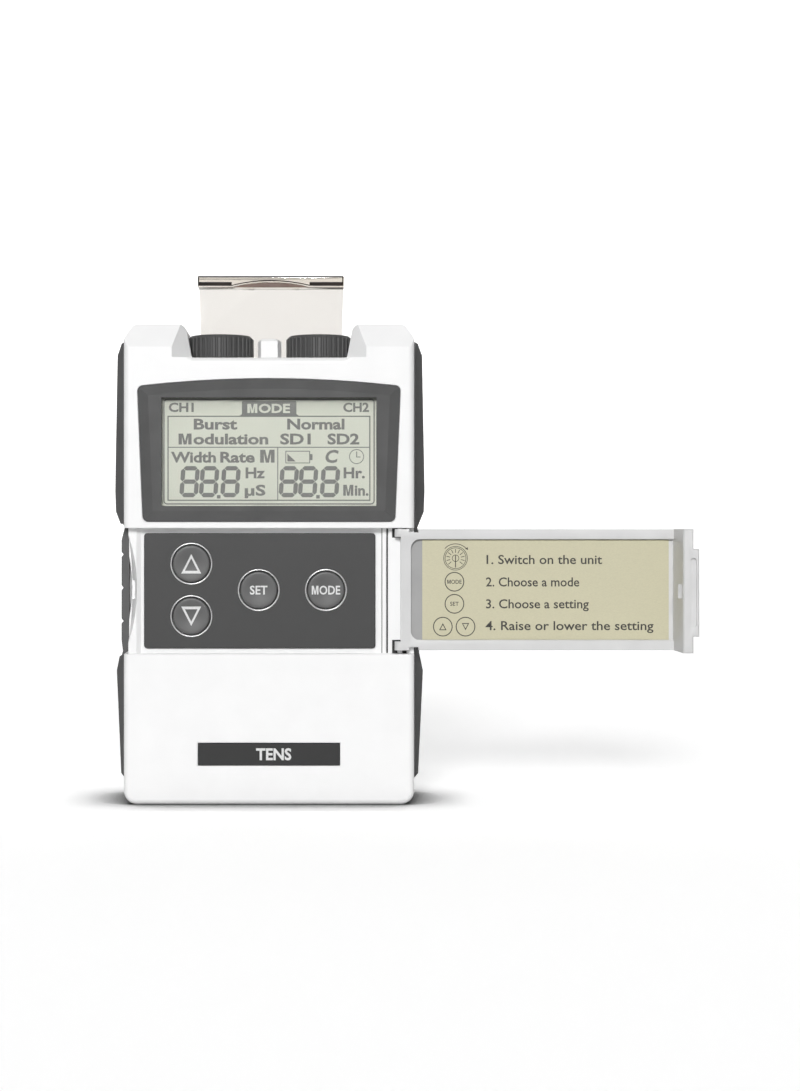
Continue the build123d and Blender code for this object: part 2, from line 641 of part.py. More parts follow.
# ---------------------------------------------------------------- keypad cover
LEDGE_LOW = 35.8
LEDGE_LENGTH = 18.0
LEDGE_REACH = 1.2
LEDGE_SLOT = (87.0, 44.8)
HOOK_LOW = 43.6
HOOK_WIDTH = 2.9
HOOK_TIP_X = 84.15
NOTCH_X = (29.4, 31.4)
KNUCKLE_R = 1.1
KNUCKLE_LENGTHS = ((COVER_LOW, 34.2), (56.2, COVER_HIGH))
PIN_DEPTH = 1.6
with BuildPart() as panel_cover:
    # plate with a raised rim round the label
    with BuildSketch(front_plane(COVER_BACK_Y)):
        patch((COVER_LEFT, COVER_END_OUT), (COVER_LOW, COVER_HIGH))
    extrude(amount=COVER_BACK_Y - COVER_RIM_Y)
    with BuildSketch(front_plane(COVER_RIM_Y)) as label_recess:
        patch((COVER_LEFT + COVER_RIM, COVER_END_IN), (COVER_LOW + COVER_RIM, COVER_HIGH - COVER_RIM))
        fillet(label_recess.vertices().group_by(Axis.X)[0], radius=2.0)
    extrude(amount=-(COVER_PLATE_Y - COVER_RIM_Y), mode=Mode.SUBTRACT)
    # end wall that closes round the left flank, with a ledge for the finger
    block((COVER_END_IN, COVER_END_OUT), (END_WALL_Y, COVER_BACK_Y), (COVER_LOW, COVER_HIGH))
    with BuildSketch(Plane.XY.offset(LEDGE_LOW)):
        with BuildLine():
            Polyline(
                (COVER_END_OUT, END_WALL_Y),
                (COVER_END_OUT + LEDGE_REACH, END_WALL_Y),
                (COVER_END_OUT + LEDGE_REACH, END_WALL_Y + 1.6),
                (COVER_END_OUT, END_WALL_Y + 4.0),
                close=True,
            )
        make_face()
    extrude(amount=LEDGE_LENGTH)
    wall_tip = panel_cover.faces().sort_by(Axis.Y)[0]
    chamfer(wall_tip.edges(), length=0.25)
    with BuildSketch(front_plane(END_WALL_Y)):
        with Locations(LEDGE_SLOT):
            SlotOverall(14.2, 1.3, rotation=90)
    extrude(amount=-0.7, mode=Mode.SUBTRACT)
    # hook that snaps into the flank, with a sloped lead-in
    with BuildSketch(Plane.XY.offset(HOOK_LOW)):
        with BuildLine():
            Polyline(
                (COVER_END_IN, END_WALL_Y + 1.45),
                (HOOK_TIP_X, END_WALL_Y + 2.15),
                (HOOK_TIP_X, END_WALL_Y + 3.15),
                (COVER_END_IN, END_WALL_Y + 3.75),
                close=True,
            )
        make_face()
    extrude(amount=HOOK_WIDTH)
    # small notches at the hinge corners of the rim
    for z_range in ((COVER_LOW - 1, COVER_LOW + 0.7), (COVER_HIGH - 0.7, COVER_HIGH + 1)):
        block(NOTCH_X, (COVER_RIM_Y - 1, COVER_BACK_Y + 1), z_range, Mode.SUBTRACT)
    # hinge knuckles at both ends
    for z_range in KNUCKLE_LENGTHS:
        rod_z(*COVER_AXIS, KNUCKLE_R, z_range)
    rod_z(*COVER_AXIS, PIN_R, (COVER_LOW - 1, COVER_LOW + PIN_DEPTH), Mode.SUBTRACT)
    rod_z(*COVER_AXIS, PIN_R, (COVER_HIGH - PIN_DEPTH, COVER_HIGH + 1), Mode.SUBTRACT)
panel_cover.part.label = "panel_cover"
export_step(panel_cover.part, "parts/panel_cover.step")

with BuildPart() as panel_cover_pins:
    rod_z(*COVER_AXIS, PIN_R, (RECESS_LOW - 1.3, COVER_LOW + PIN_DEPTH))
    rod_z(*COVER_AXIS, PIN_R, (COVER_HIGH - PIN_DEPTH, RECESS_HIGH + 1.3))
panel_cover_pins.part.label = "panel_cover_pins"
export_step(panel_cover_pins.part, "parts/panel_cover_pins.step")

LABEL_X = (32.2, 84.0)
LABEL_Z = (34.62, 55.62)
with BuildPart() as instruction_label:
    block(LABEL_X, (COVER_PLATE_Y - LABEL_THICK, COVER_PLATE_Y), LABEL_Z)
instruction_label.part.label = "instruction_label"
export_step(instruction_label.part, "parts/instruction_label.step")

# ---------------------------------------------------------------- dial cover
HINGE_PIN_IN = 13.6
RELIEF_HALF = 8.5
RELIEF_RISE = 1.1
with BuildPart() as dial_cover:
    with BuildSketch(Plane.YZ):
        patch((DIAL_AXIS[0], DIAL_COVER_PLATE[1]), (DIAL_COVER_FLOOR, DIAL_COVER_FLOOR + 1.2))
        patch(DIAL_COVER_PLATE, (DIAL_COVER_FLOOR, DIAL_COVER_TOP))
        patch((DIAL_COVER_LIP_Y, DIAL_COVER_PLATE[1]), (DIAL_COVER_TOP - DIAL_COVER_LIP, DIAL_COVER_TOP))
    extrude(amount=DIAL_COVER_HALF_HIGH, both=True)
    # barrel round the hinge pins
    rod_x(*DIAL_AXIS, DIAL_BARREL_R, (-DIAL_COVER_HALF_LOW, DIAL_COVER_HALF_LOW))
    # widening outline seen from the front
    with BuildSketch(Plane.XZ):
        with BuildLine():
            Polyline(
                (-DIAL_COVER_HALF_LOW, DIAL_COVER_FLOOR - 1),
                (DIAL_COVER_HALF_LOW, DIAL_COVER_FLOOR - 1),
                (DIAL_COVER_HALF_HIGH, DIAL_COVER_TOP),
                (-DIAL_COVER_HALF_HIGH, DIAL_COVER_TOP),
                close=True,
            )
        make_face()
    extrude(amount=BODY_DEPTH, both=True, mode=Mode.INTERSECT)
    # lens-shaped thumb relief in the lip, with the catch window for the latch post
    with BuildSketch(front_plane(DIAL_COVER_LIP_Y)):
        with BuildLine():
            lip_z = DIAL_COVER_TOP - DIAL_COVER_LIP
            chord = Line((-RELIEF_HALF, lip_z), (RELIEF_HALF, lip_z))
            ThreePointArc(chord @ 1, (0, lip_z + RELIEF_RISE), chord @ 0)
        make_face()
    extrude(amount=-3.0, mode=Mode.SUBTRACT)
    for x_range in ((-6.2, -3.7), (3.7, 6.2)):
        block(x_range, (DIAL_COVER_LIP_Y + 1.2, DIAL_COVER_LIP_Y + 3.2), (110.7, 112.2))
    for axis_end in (-1, 1):
        rod_x(*DIAL_AXIS, HINGE_PIN_R, sorted((axis_end * HINGE_PIN_IN, axis_end * 17)), Mode.SUBTRACT)
dial_cover.part.label = "dial_cover"
export_step(dial_cover.part, "parts/dial_cover.step")

with BuildPart() as dial_cover_pins:
    for axis_end in (-1, 1):
        rod_x(*DIAL_AXIS, HINGE_PIN_R, sorted((axis_end * HINGE_PIN_IN, axis_end * 18.1)))
dial_cover_pins.part.label = "dial_cover_pins"
export_step(dial_cover_pins.part, "parts/dial_cover_pins.step")

# ---------------------------------------------------------------- dials, shafts, potentiometers
DIAL_DISH_R = DIAL_R - 1.8
SHAFT_TOP = DIAL_HIGH - 1.4
SHAFT_LOW = 87.2
POT_R = 4.4
POT_Z = (85.2, 90.6)
POT_NECK_R = 1.95
POT_NECK_TOP = 91.7
NUT_R = 3.4
for channel, x in ((1, -DIAL_X), (2, DIAL_X)):
    with BuildPart() as dial:
        rod_z(x, DIAL_Y, DIAL_R, (DIAL_LOW, DIAL_HIGH))
        chamfer(dial.faces().sort_by(Axis.Z)[-1].edges(), length=0.7)
        with BuildSketch(Plane.XY.offset(DIAL_LOW)):
            with Locations((x, DIAL_Y)):
                with PolarLocations(DIAL_R + 0.12, DIAL_TEETH):
                    Circle(0.36)
        extrude(amount=DIAL_HIGH - DIAL_LOW, mode=Mode.SUBTRACT)
        # dished top with a pointer groove
        rod_z(x, DIAL_Y, DIAL_DISH_R, (DIAL_HIGH - 0.4, DIAL_HIGH + 1), Mode.SUBTRACT)
        block((x - 0.3, x + 0.3), (DIAL_Y - 5.0, DIAL_Y - 2.4), (DIAL_HIGH - 0.7, DIAL_HIGH), Mode.SUBTRACT)
        rod_z(x, DIAL_Y, SHAFT_R, (DIAL_LOW - 1, SHAFT_TOP), Mode.SUBTRACT)
    dial.part.label = f"channel_{channel}_dial"
    export_step(dial.part, f"parts/channel_{channel}_dial.step")

    with BuildPart() as shaft:
        rod_z(x, DIAL_Y, SHAFT_R, (SHAFT_LOW, SHAFT_TOP))
    shaft.part.label = f"channel_{channel}_shaft"
    export_step(shaft.part, f"parts/channel_{channel}_shaft.step")

    with BuildPart() as potentiometer:
        rod_z(x, DIAL_Y, POT_R, POT_Z)
        block((x - 3.2, x + 3.2), (DIAL_Y + 3.0, DIAL_Y + 6.4), (POT_Z[0], POT_Z[0] + 3.0))
        rod_z(x, DIAL_Y, POT_NECK_R, (POT_Z[1] - 0.1, POT_NECK_TOP))
        rod_z(x, DIAL_Y, SHAFT_R + 0.06, (SHAFT_LOW - 0.1, POT_NECK_TOP + 0.3), Mode.SUBTRACT)
        for pin in (-2.2, 0, 2.2):
            pin_x = (x + pin - 0.35, x + pin + 0.35)
            block(pin_x, (DIAL_Y + 5.2, DIAL_Y + 5.6), (POT_Z[0] - 3.6, POT_Z[0] + 0.1))
    potentiometer.part.label = f"potentiometer_{channel}"
    export_step(potentiometer.part, f"parts/potentiometer_{channel}.step")

with BuildPart() as potentiometer_nuts:
    for x in (-DIAL_X, DIAL_X):
        with BuildSketch(Plane.XY.offset(POT_Z[1] + 0.05)):
            with Locations((x, DIAL_Y)):
                RegularPolygon(NUT_R, 6)
                Circle(POT_NECK_R + 0.05, mode=Mode.SUBTRACT)
        extrude(amount=1.0)
potentiometer_nuts.part.label = "potentiometer_nuts"
export_step(potentiometer_nuts.part, "parts/potentiometer_nuts.step")

# ---------------------------------------------------------------- output sockets
JACK_Z = (86.0, 98.7)
JACK_TOP = BODY_HEIGHT - 0.4
for channel, x in ((1, -JACK_X), (2, JACK_X)):
    with BuildPart() as jack:
        block((x - 4.0, x + 4.0), (JACK_Y - 4.4, JACK_Y + 4.4), JACK_Z)
        rod_z(x, JACK_Y, JACK_R - 0.1, (JACK_Z[1] - 0.1, JACK_TOP))
        chamfer(jack.faces().sort_by(Axis.Z)[-1].edges(), length=0.2)
        rod_z(x, JACK_Y, JACK_BORE_R, (JACK_TOP - JACK_BORE_DEPTH, BODY_HEIGHT), Mode.SUBTRACT)
        # slot that holds the contact spring
        slot_y = (JACK_Y + JACK_BORE_R - 0.3, JACK_Y + 4.5)
        block((x - 0.6, x + 0.6), slot_y, (JACK_Z[0] - 1, JACK_Z[0] + 5), Mode.SUBTRACT)
    jack.part.label = f"output_jack_{channel}"
    export_step(jack.part, f"parts/output_jack_{channel}.step")

with BuildPart() as jack_contacts:
    for x in (-JACK_X, JACK_X):
        block((x - 0.4, x + 0.4), (JACK_Y + 1.3, JACK_Y + 1.6), (JACK_Z[0] - 2.4, JACK_Z[0] + 4.8))
        block((x - 0.4, x + 0.4), (JACK_Y + 1.3, JACK_Y + 3.4), (JACK_Z[0] + 2.2, JACK_Z[0] + 2.5))
jack_contacts.part.label = "jack_contacts"
export_step(jack_contacts.part, "parts/jack_contacts.step")

# ---------------------------------------------------------------- main board and what is on it
with BuildPart() as main_board:
    block((-BOARD_HALF, BOARD_HALF), (BOARD_FRONT_Y, BOARD_BACK_Y), (BOARD_LOW, BOARD_HIGH))
    for x, z in BOARD_SCREWS:
        rod_y(x, z, 0.85, (BOARD_FRONT_Y - 1, BOARD_BACK_Y + 1), Mode.SUBTRACT)
main_board.part.label = "main_board"
export_step(main_board.part, "parts/main_board.step")

with BuildPart() as board_screws:
    for x, z in BOARD_SCREWS:
        rod_y(x, z, 0.72, (-7.4, BOARD_BACK_Y + 0.05))
        rod_y(x, z, 1.5, (BOARD_BACK_Y, BOARD_BACK_Y + 0.9))
        rod_y(x, z, 0.45, (BOARD_BACK_Y + 0.5, BOARD_BACK_Y + 1), Mode.SUBTRACT)
board_screws.part.label = "board_screws"
export_step(board_screws.part, "parts/board_screws.step")

CHIP_Y = (BOARD_BACK_Y + 0.1, BOARD_BACK_Y + 1.7)
LEG_Y = (BOARD_BACK_Y, BOARD_BACK_Y + 0.5)
MICRO_CENTRE = (-9.0, 60.0)
MICRO_HALF = 5.0
MICRO_LEG_HALF = 6.2
MICRO_PITCH = 1.25
MICRO_LEGS = 8
with BuildPart() as microcontroller:
    micro_x, micro_z = MICRO_CENTRE
    block((micro_x - MICRO_HALF, micro_x + MICRO_HALF), CHIP_Y, (micro_z - MICRO_HALF, micro_z + MICRO_HALF))
    for step in range(MICRO_LEGS):
        along = MICRO_PITCH * (step - (MICRO_LEGS - 1) / 2)
        leg = (along - 0.15, along + 0.15)
        reach = (-MICRO_LEG_HALF, MICRO_LEG_HALF)
        block([micro_x + r for r in reach], LEG_Y, [micro_z + w for w in leg])
        block([micro_x + w for w in leg], LEG_Y, [micro_z + r for r in reach])
microcontroller.part.label = "microcontroller"
export_step(microcontroller.part, "parts/microcontroller.step")

with BuildPart() as driver_chips:
    for x in (3.0, 12.5):
        block((x - 2.0, x + 2.0), CHIP_Y, (57.5, 62.5))
        for step in range(4):
            leg_z = 58.1 + 1.27 * step
            block((x - 3.0, x + 3.0), LEG_Y, (leg_z - 0.2, leg_z + 0.2))
driver_chips.part.label = "driver_chips"
export_step(driver_chips.part, "parts/driver_chips.step")

CRYSTAL_HEIGHT = 3.5
with BuildPart() as quartz_crystal:
    with BuildSketch(Plane.XZ.offset(-BOARD_BACK_Y - CRYSTAL_HEIGHT)):
        with Locations((-9.0, 50.0)):
            SlotOverall(11.0, 4.4)
    extrude(amount=CRYSTAL_HEIGHT)
quartz_crystal.part.label = "quartz_crystal"
export_step(quartz_crystal.part, "parts/quartz_crystal.step")

with BuildPart() as output_transformers:
    for x in (-12.0, 12.0):
        block((x - 6.5, x + 6.5), (BOARD_BACK_Y, 6.8), (69.0, 80.0))
        block((x - 7.2, x + 7.2), (BOARD_BACK_Y + 2.2, 4.6), (70.5, 78.5))
output_transformers.part.label = "output_transformers"
export_step(output_transformers.part, "parts/output_transformers.step")

with BuildPart() as electrolytic_capacitors:
    for x in (2.0, 9.5, 17.0):
        rod_y(x, 46.0, 3.15, (BOARD_BACK_Y, 4.6))
electrolytic_capacitors.part.label = "electrolytic_capacitors"
export_step(electrolytic_capacitors.part, "parts/electrolytic_capacitors.step")

# ---------------------------------------------------------------- battery bay
TRAY_HALF = 27.6
TRAY_WALL = 0.8
TRAY_Y = (-7.7, 9.9)
TRAY_LOW = 2.1
with BuildPart() as battery_tray:
    block((-TRAY_HALF, TRAY_HALF), TRAY_Y, (TRAY_LOW, BAY_TOP))
    block(
        (-TRAY_HALF + TRAY_WALL, TRAY_HALF - TRAY_WALL),
        (TRAY_Y[0] + TRAY_WALL, TRAY_Y[1] + 1),
        (TRAY_LOW + TRAY_WALL, BAY_TOP - TRAY_WALL),
        Mode.SUBTRACT,
    )
    # passage for the leads of the snap
    block((24.4, 26.4), (-3.0, 3.0), (BAY_TOP - 2, BAY_TOP + 1), Mode.SUBTRACT)
battery_tray.part.label = "battery_tray"
export_step(battery_tray.part, "parts/battery_tray.step")

BATTERY_X = (-25.8, 20.6)
BATTERY_Y = (-6.8, 9.0)
BATTERY_Z = (3.1, 29.6)
with BuildPart() as battery:
    block(BATTERY_X, BATTERY_Y, BATTERY_Z)
    fillet(battery.edges().filter_by(Axis.X), radius=1.8)
battery.part.label = "battery"
export_step(battery.part, "parts/battery.step")

TERMINALS_Z = (10.0, 22.7)
TERMINALS_Y = 1.1
with BuildPart() as battery_terminals:
    for z, radius in zip(TERMINALS_Z, (2.8, 2.0)):
        rod_x(TERMINALS_Y, z, radius, (BATTERY_X[1], BATTERY_X[1] + 2.0))
battery_terminals.part.label = "battery_terminals"
export_step(battery_terminals.part, "parts/battery_terminals.step")

with BuildPart() as battery_snap:
    block((21.3, 24.3), (TERMINALS_Y - 5, TERMINALS_Y + 5), (4.5, 28.2))
    fillet(battery_snap.edges().filter_by(Axis.X), radius=3.0)
    for z, radius in zip(TERMINALS_Z, (2.85, 2.05)):
        rod_x(TERMINALS_Y, z, radius, (21, 22.9), Mode.SUBTRACT)
battery_snap.part.label = "battery_snap"
export_step(battery_snap.part, "parts/battery_snap.step")

# the leads of the snap run up through the tray and turn in to the board
WIRE_R = 0.55
WIRE_START_X = 24.3
WIRE_RISE_X = 25.5
WIRE_BOARD_Z = 39.0
for name, y, z_start, x_end in (
    ("red_battery_wire", -1.2, 24.0, 16.5),
    ("black_battery_wire", 1.6, 12.0, 13.0),
):
    with BuildPart() as wire:
        with BuildLine() as route:
            FilletPolyline(
                (WIRE_START_X, y, z_start),
                (WIRE_RISE_X, y, z_start),
                (WIRE_RISE_X, y, BAY_TOP + 1.6),
                (x_end, y, WIRE_BOARD_Z),
                (x_end, BOARD_BACK_Y, WIRE_BOARD_Z),
                radius=[0.55, 1.2, 1.2],
            )
        with BuildSketch(Plane(origin=route.line @ 0, z_dir=route.line % 0)):
            Circle(WIRE_R)
        sweep()
    wire.part.label = name
    export_step(wire.part, f"parts/{name}.step")
    wire_length = sum(edge.length for edge in route.edges())
    expected = pi * WIRE_R**2 * wire_length
    print(name, "volume", round(wire.part.volume, 2), "section times length", round(expected, 2))

# ---------------------------------------------------------------- battery door
with BuildPart() as battery_door:
    door_y = (DOOR_AXIS[0] - DOOR_R, DOOR_AXIS[0] + DOOR_R)
    block((-DOOR_HALF, DOOR_HALF), door_y, (DOOR_AXIS[1], DOOR_TOP))
    rod_x(*DOOR_AXIS, DOOR_R, (-DOOR_HALF, DOOR_HALF))
    rod_x(*DOOR_AXIS, PIN_R, (-DOOR_HALF - 1.3, DOOR_HALF + 1.3))
    # thumb ribs near the latch
    for step in range(5):
        block((-8.0, 8.0), (BACK_Y - 0.35, BACK_Y + 1), (26.0 + 1.3 * step, 26.6 + 1.3 * step), Mode.SUBTRACT)
battery_door.part.label = "battery_door"
export_step(battery_door.part, "parts/battery_door.step")

with BuildPart() as battery_foam:
    block((-18.0, 14.0), (9.2, DOOR_AXIS[0] - DOOR_R), (9.0, 24.0))
battery_foam.part.label = "battery_foam"
export_step(battery_foam.part, "parts/battery_foam.step")

# ---------------------------------------------------------------- belt clip
BRACKET_THICK = 1.2
LEVER_Y = (17.7, 19.1)
LEVER_Z = (43.0, 89.0)
LEVER_FOOT_Y = 13.0
HUB_HALF = 5.9
HUB_RIGHT = 2.4  # the spring takes the rest of the hub's width
HUB_R = 1.6
SPRING_X = 2.95
with BuildPart() as clip_bracket:
    with BuildSketch(Plane.XZ.offset(-BACK_Y - BRACKET_THICK)):
        with Locations((0, 77.0)):
            RectangleRounded(17.0, 23.0, 2.0)
    extrude(amount=BRACKET_THICK)
    for side in (-1, 1):
        lug_x = sorted((side * (HUB_HALF + 0.2), side * 7.9))
        block(lug_x, (BACK_Y + BRACKET_THICK - 0.1, 16.9), (CLIP_AXIS[1] - 2, CLIP_AXIS[1] + 2))
    rod_x(*CLIP_AXIS, CLIP_PIN_R + 0.03, (-8, 8), Mode.SUBTRACT)
    for x, z in CLIP_SCREWS:
        rod_y(x, z, 1.05, (BACK_Y - 1, BACK_Y + 2), Mode.SUBTRACT)
clip_bracket.part.label = "clip_bracket"
export_step(clip_bracket.part, "parts/clip_bracket.step")

with BuildPart() as clip_screws:
    for x, z in CLIP_SCREWS:
        rod_y(x, z, 0.88, (BACK_Y - 3.3, BACK_Y + 1.25))
        rod_y(x, z, 1.8, (BACK_Y + 1.2, BACK_Y + 2.0))
        rod_y(x, z, 0.5, (BACK_Y + 1.5, BACK_Y + 2.1), Mode.SUBTRACT)
clip_screws.part.label = "clip_screws"
export_step(clip_screws.part, "parts/clip_screws.step")

with BuildPart() as clip_lever:
    with BuildSketch(Plane.YZ):
        patch(LEVER_Y, (LEVER_Z[0] + 2.5, LEVER_Z[1]))
        with BuildLine():
            Polyline(
                (LEVER_FOOT_Y, LEVER_Z[0] + 1.0),
                (LEVER_Y[0], LEVER_Z[0] + 1.0),
                (LEVER_Y[1], LEVER_Z[0] + 2.6),
                (LEVER_Y[1], LEVER_Z[0] + 4.0),
                (LEVER_Y[0], LEVER_Z[0] + 4.0),
                (LEVER_FOOT_Y, LEVER_Z[0] + 2.2),
                close=True,
            )
        make_face()
        patch((CLIP_AXIS[0], LEVER_Y[0] + 0.1), (CLIP_AXIS[1] - 1.1, CLIP_AXIS[1] + 1.1))
    extrude(amount=CLIP_HALF, both=True)
    with BuildSketch(Plane.XZ.offset(-LEVER_FOOT_Y + 1)):
        with Locations((0, sum(LEVER_Z) / 2)):
            RectangleRounded(2 * CLIP_HALF, LEVER_Z[1] - LEVER_Z[0], 2.0)
    extrude(amount=-10, mode=Mode.INTERSECT)
    # narrow hub between the lugs of the bracket
    under_lever = ((LEVER_FOOT_Y, LEVER_Y[0]), (CLIP_AXIS[1] - 4, CLIP_AXIS[1] + 4))
    for side in (-1, 1):
        block(sorted((side * HUB_HALF, side * 8)), *under_lever, Mode.SUBTRACT)
    rod_x(*CLIP_AXIS, HUB_R, (-HUB_HALF, HUB_RIGHT))
    block((HUB_RIGHT, HUB_HALF + 0.1), *under_lever, Mode.SUBTRACT)
    rod_x(*CLIP_AXIS, CLIP_PIN_R + 0.05, (-8, 8), Mode.SUBTRACT)
clip_lever.part.label = "clip_lever"
export_step(clip_lever.part, "parts/clip_lever.step")

with BuildPart() as clip_pin:
    rod_x(*CLIP_AXIS, CLIP_PIN_R, (-8.0, 8.0))
clip_pin.part.label = "clip_pin"
export_step(clip_pin.part, "parts/clip_pin.step")

with BuildPart() as clip_spring:
    with BuildLine() as coil:
        Helix(pitch=0.72, height=2.52, radius=1.15, center=(SPRING_X, *CLIP_AXIS), direction=(1, 0, 0))
    with BuildSketch(Plane(origin=coil.line @ 0, z_dir=coil.line % 0)):
        Circle(0.27)
    sweep(is_frenet=True)
clip_spring.part.label = "clip_spring"
export_step(clip_spring.part, "parts/clip_spring.step")
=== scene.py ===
# %% [markdown]
# # A two-channel nerve stimulator, dressed for a product picture
# The case, keys, covers and works of this small medical unit come from a imported CAD model.
# This lesson loads that model as a fixed frame and then gives it what CAD leaves out:
# dished keys, the printed display, labels, and a real finish on every piece.
# Everything is in metres, and every place is worked out from the frame.

import bmesh
import bpy
import numpy as np
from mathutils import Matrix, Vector


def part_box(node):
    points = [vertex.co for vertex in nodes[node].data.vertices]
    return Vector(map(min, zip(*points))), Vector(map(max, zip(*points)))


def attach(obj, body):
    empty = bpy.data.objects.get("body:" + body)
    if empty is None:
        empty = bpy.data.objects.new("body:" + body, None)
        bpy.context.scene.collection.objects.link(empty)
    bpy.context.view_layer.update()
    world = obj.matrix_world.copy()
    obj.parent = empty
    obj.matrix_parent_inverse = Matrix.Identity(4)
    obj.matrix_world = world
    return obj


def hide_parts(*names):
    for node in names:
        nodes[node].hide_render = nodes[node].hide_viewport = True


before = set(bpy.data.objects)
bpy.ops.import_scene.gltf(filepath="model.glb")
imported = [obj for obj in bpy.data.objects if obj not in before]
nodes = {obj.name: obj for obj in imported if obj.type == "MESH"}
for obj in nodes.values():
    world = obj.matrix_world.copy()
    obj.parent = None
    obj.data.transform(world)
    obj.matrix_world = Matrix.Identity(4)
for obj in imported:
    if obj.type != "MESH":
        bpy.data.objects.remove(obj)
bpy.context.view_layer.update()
MM = 0.001
print("nodes:", len(nodes))

# %% [markdown]
# ## Reading places from the frame
# A node's box is enough to place the small pieces that sit on it. `extent` turns the two
# corners of that box into two numpy arrays, so that later cells can do sums with them.


# %% Extents of a node
def extent(node):
    """Lowest and highest corner of a CAD node, each as an array of x, y and z in metres."""
    low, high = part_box(node)
    return np.array(low), np.array(high)


case_low, case_high = extent("front_shell")
print("case, mm:", ((case_high - case_low) / MM).round(2))

# %% [markdown]
# ## The camera and the light
# The camera stands level with the middle of the case, a little under half a metre in front of
# it, and its sensor is shifted sideways so that the open cover fits beside the case without
# turning the camera. Blender measures a shift in lengths of the picture's longer side.
# The object is white on white, so its edges have to turn grey: a key sun from ahead and a
# little above whitens the front and falls off round every rounded edge, and a weak high sun
# lights the table.


# %% Camera
def add_object(name, data):
    """An object made of a mesh, a lamp or a camera, linked to the scene."""
    made = bpy.data.objects.new(name, data)
    bpy.context.scene.collection.objects.link(made)
    return made


CAMERA_PLACE = (8.6 * MM, -462.25 * MM, 56.6 * MM)
LENS_MM = 70.83
SHIFT = (0.0825, -0.0096)
camera_data = bpy.data.cameras.new("product_camera")
camera_data.lens = LENS_MM
camera_data.sensor_width = 36.0
camera_data.shift_x, camera_data.shift_y = SHIFT
camera_data.clip_start = 0.01
camera = add_object("product_camera", camera_data)
camera.location = CAMERA_PLACE
camera.rotation_euler = (np.pi / 2, 0, 0)
bpy.context.scene.camera = camera
bpy.context.scene.view_settings.view_transform = "Standard"
print("camera at", [round(v / MM, 1) for v in CAMERA_PLACE], "mm")

# %% [markdown]
# A sky and a finish are both trees of shader nodes. `add_node` makes one node and fills its
# inputs: a socket of an earlier node is linked, and anything else becomes the input's own value.


# %% One shader node with its inputs
def add_node(tree, kind, inputs=None, **settings):
    """A shader node with inputs given as {name or number: socket or value}, and its own settings
    (operation, data_type and so on) given by name."""
    made = tree.nodes.new(f"ShaderNode{kind}")
    for setting, choice in settings.items():
        setattr(made, setting, choice)
    for place, given in (inputs or {}).items():
        if isinstance(given, bpy.types.NodeSocket):
            tree.links.new(given, made.inputs[place])
        else:
            made.inputs[place].default_value = given
    return made


# %% [markdown]
# A studio sky can be brighter for the camera than for the object. Here the backdrop stays
# white while the light that reaches the case is dimmer beside and above it than in front, as
# black flags round a table would make it, so that rounded edges read as grey lines.


# %% Sky
FLAG_EDGE = (0.15, 0.75)
BACKDROP_LIGHT = 1.05


def build_sky(front_light, side_light):
    """World light that goes from side_light beside and above the case to front_light ahead of
    and behind it, as the direction's share along Y goes from FLAG_EDGE[0] to FLAG_EDGE[1]."""
    world = bpy.data.worlds.new("studio_sky")
    world.use_nodes = True
    tree = world.node_tree
    tree.nodes.clear()
    coords = add_node(tree, "TexCoord")
    split = add_node(tree, "SeparateXYZ", {0: coords.outputs["Generated"]})
    towards = add_node(tree, "Math", {0: split.outputs["Y"]}, operation="ABSOLUTE")
    ends = {"From Min": FLAG_EDGE[0], "From Max": FLAG_EDGE[1], "To Min": side_light, "To Max": front_light}
    level = add_node(tree, "MapRange", {"Value": towards.outputs[0], **ends})
    for_object = add_node(tree, "Background", {"Strength": level.outputs[0]})
    for_camera = add_node(tree, "Background", {"Color": (1, 1, 1, 1), "Strength": BACKDROP_LIGHT})
    to_camera = add_node(tree, "LightPath").outputs["Is Camera Ray"]
    mix = add_node(tree, "MixShader", {0: to_camera, 1: for_object.outputs[0], 2: for_camera.outputs[0]})
    add_node(tree, "OutputWorld", {0: mix.outputs[0]})
    bpy.context.scene.world = world
    return world


build_sky(front_light=0.40, side_light=0.02)
print("sky ready")


# %% Suns
def add_sun(name, towards, strength, softness_deg):
    """A sun that shines along the vector towards, with a disc of softness_deg for soft shadows."""
    data = bpy.data.lights.new(name, "SUN")
    data.energy = strength
    data.angle = np.radians(softness_deg)
    sun = add_object(name, data)
    sun.rotation_mode = "QUATERNION"
    sun.rotation_quaternion = Vector(towards).to_track_quat("-Z", "Y")
    return sun


add_sun("key_sun", (0.12, 1.0, -0.36), 2.05, 14)
add_sun("top_sun", (0.02, -0.05, -1.0), 0.45, 60)

# %% [markdown]
# ## Meshes from arrays
# Each new piece is a surface worked out with numpy. A *grid* is a table of points, one row per
# step along the piece and one column per step round it; joining neighbours gives its faces.
# When the columns close on themselves the grid is a tube, and a cap at each end makes it a
# solid. `put` turns the arrays into a Blender object that already sits in its place.


# %% Grid faces, caps and the mesh object
def grid_faces(rows, columns):
    """Four-cornered faces between neighbouring points of a table whose last column meets its first."""
    row, column = np.meshgrid(np.arange(rows - 1), np.arange(columns), indexing="ij")
    after = (column + 1) % columns
    here, above = row * columns, (row + 1) * columns
    corners = [here + column, here + after, above + after, above + column]
    return np.stack(corners, axis=-1).reshape(-1, 4).tolist()


def capped_tube(table):
    """Points and faces of a solid: a table of rings, with one many-sided face closing each end."""
    rows, columns = table.shape[:2]
    first = list(range(columns))[::-1]
    last = [(rows - 1) * columns + k for k in range(columns)]
    return table.reshape(-1, 3), grid_faces(rows, columns) + [first, last]


def gather(parts):
    """Several (points, faces) pairs as one pair, with each part's face numbers moved past the ones before."""
    points, faces, used = [], [], 0
    for part_points, part_faces in parts:
        points.append(part_points)
        faces += [[index + used for index in face] for face in part_faces]
        used += len(part_points)
    return np.concatenate(points), faces


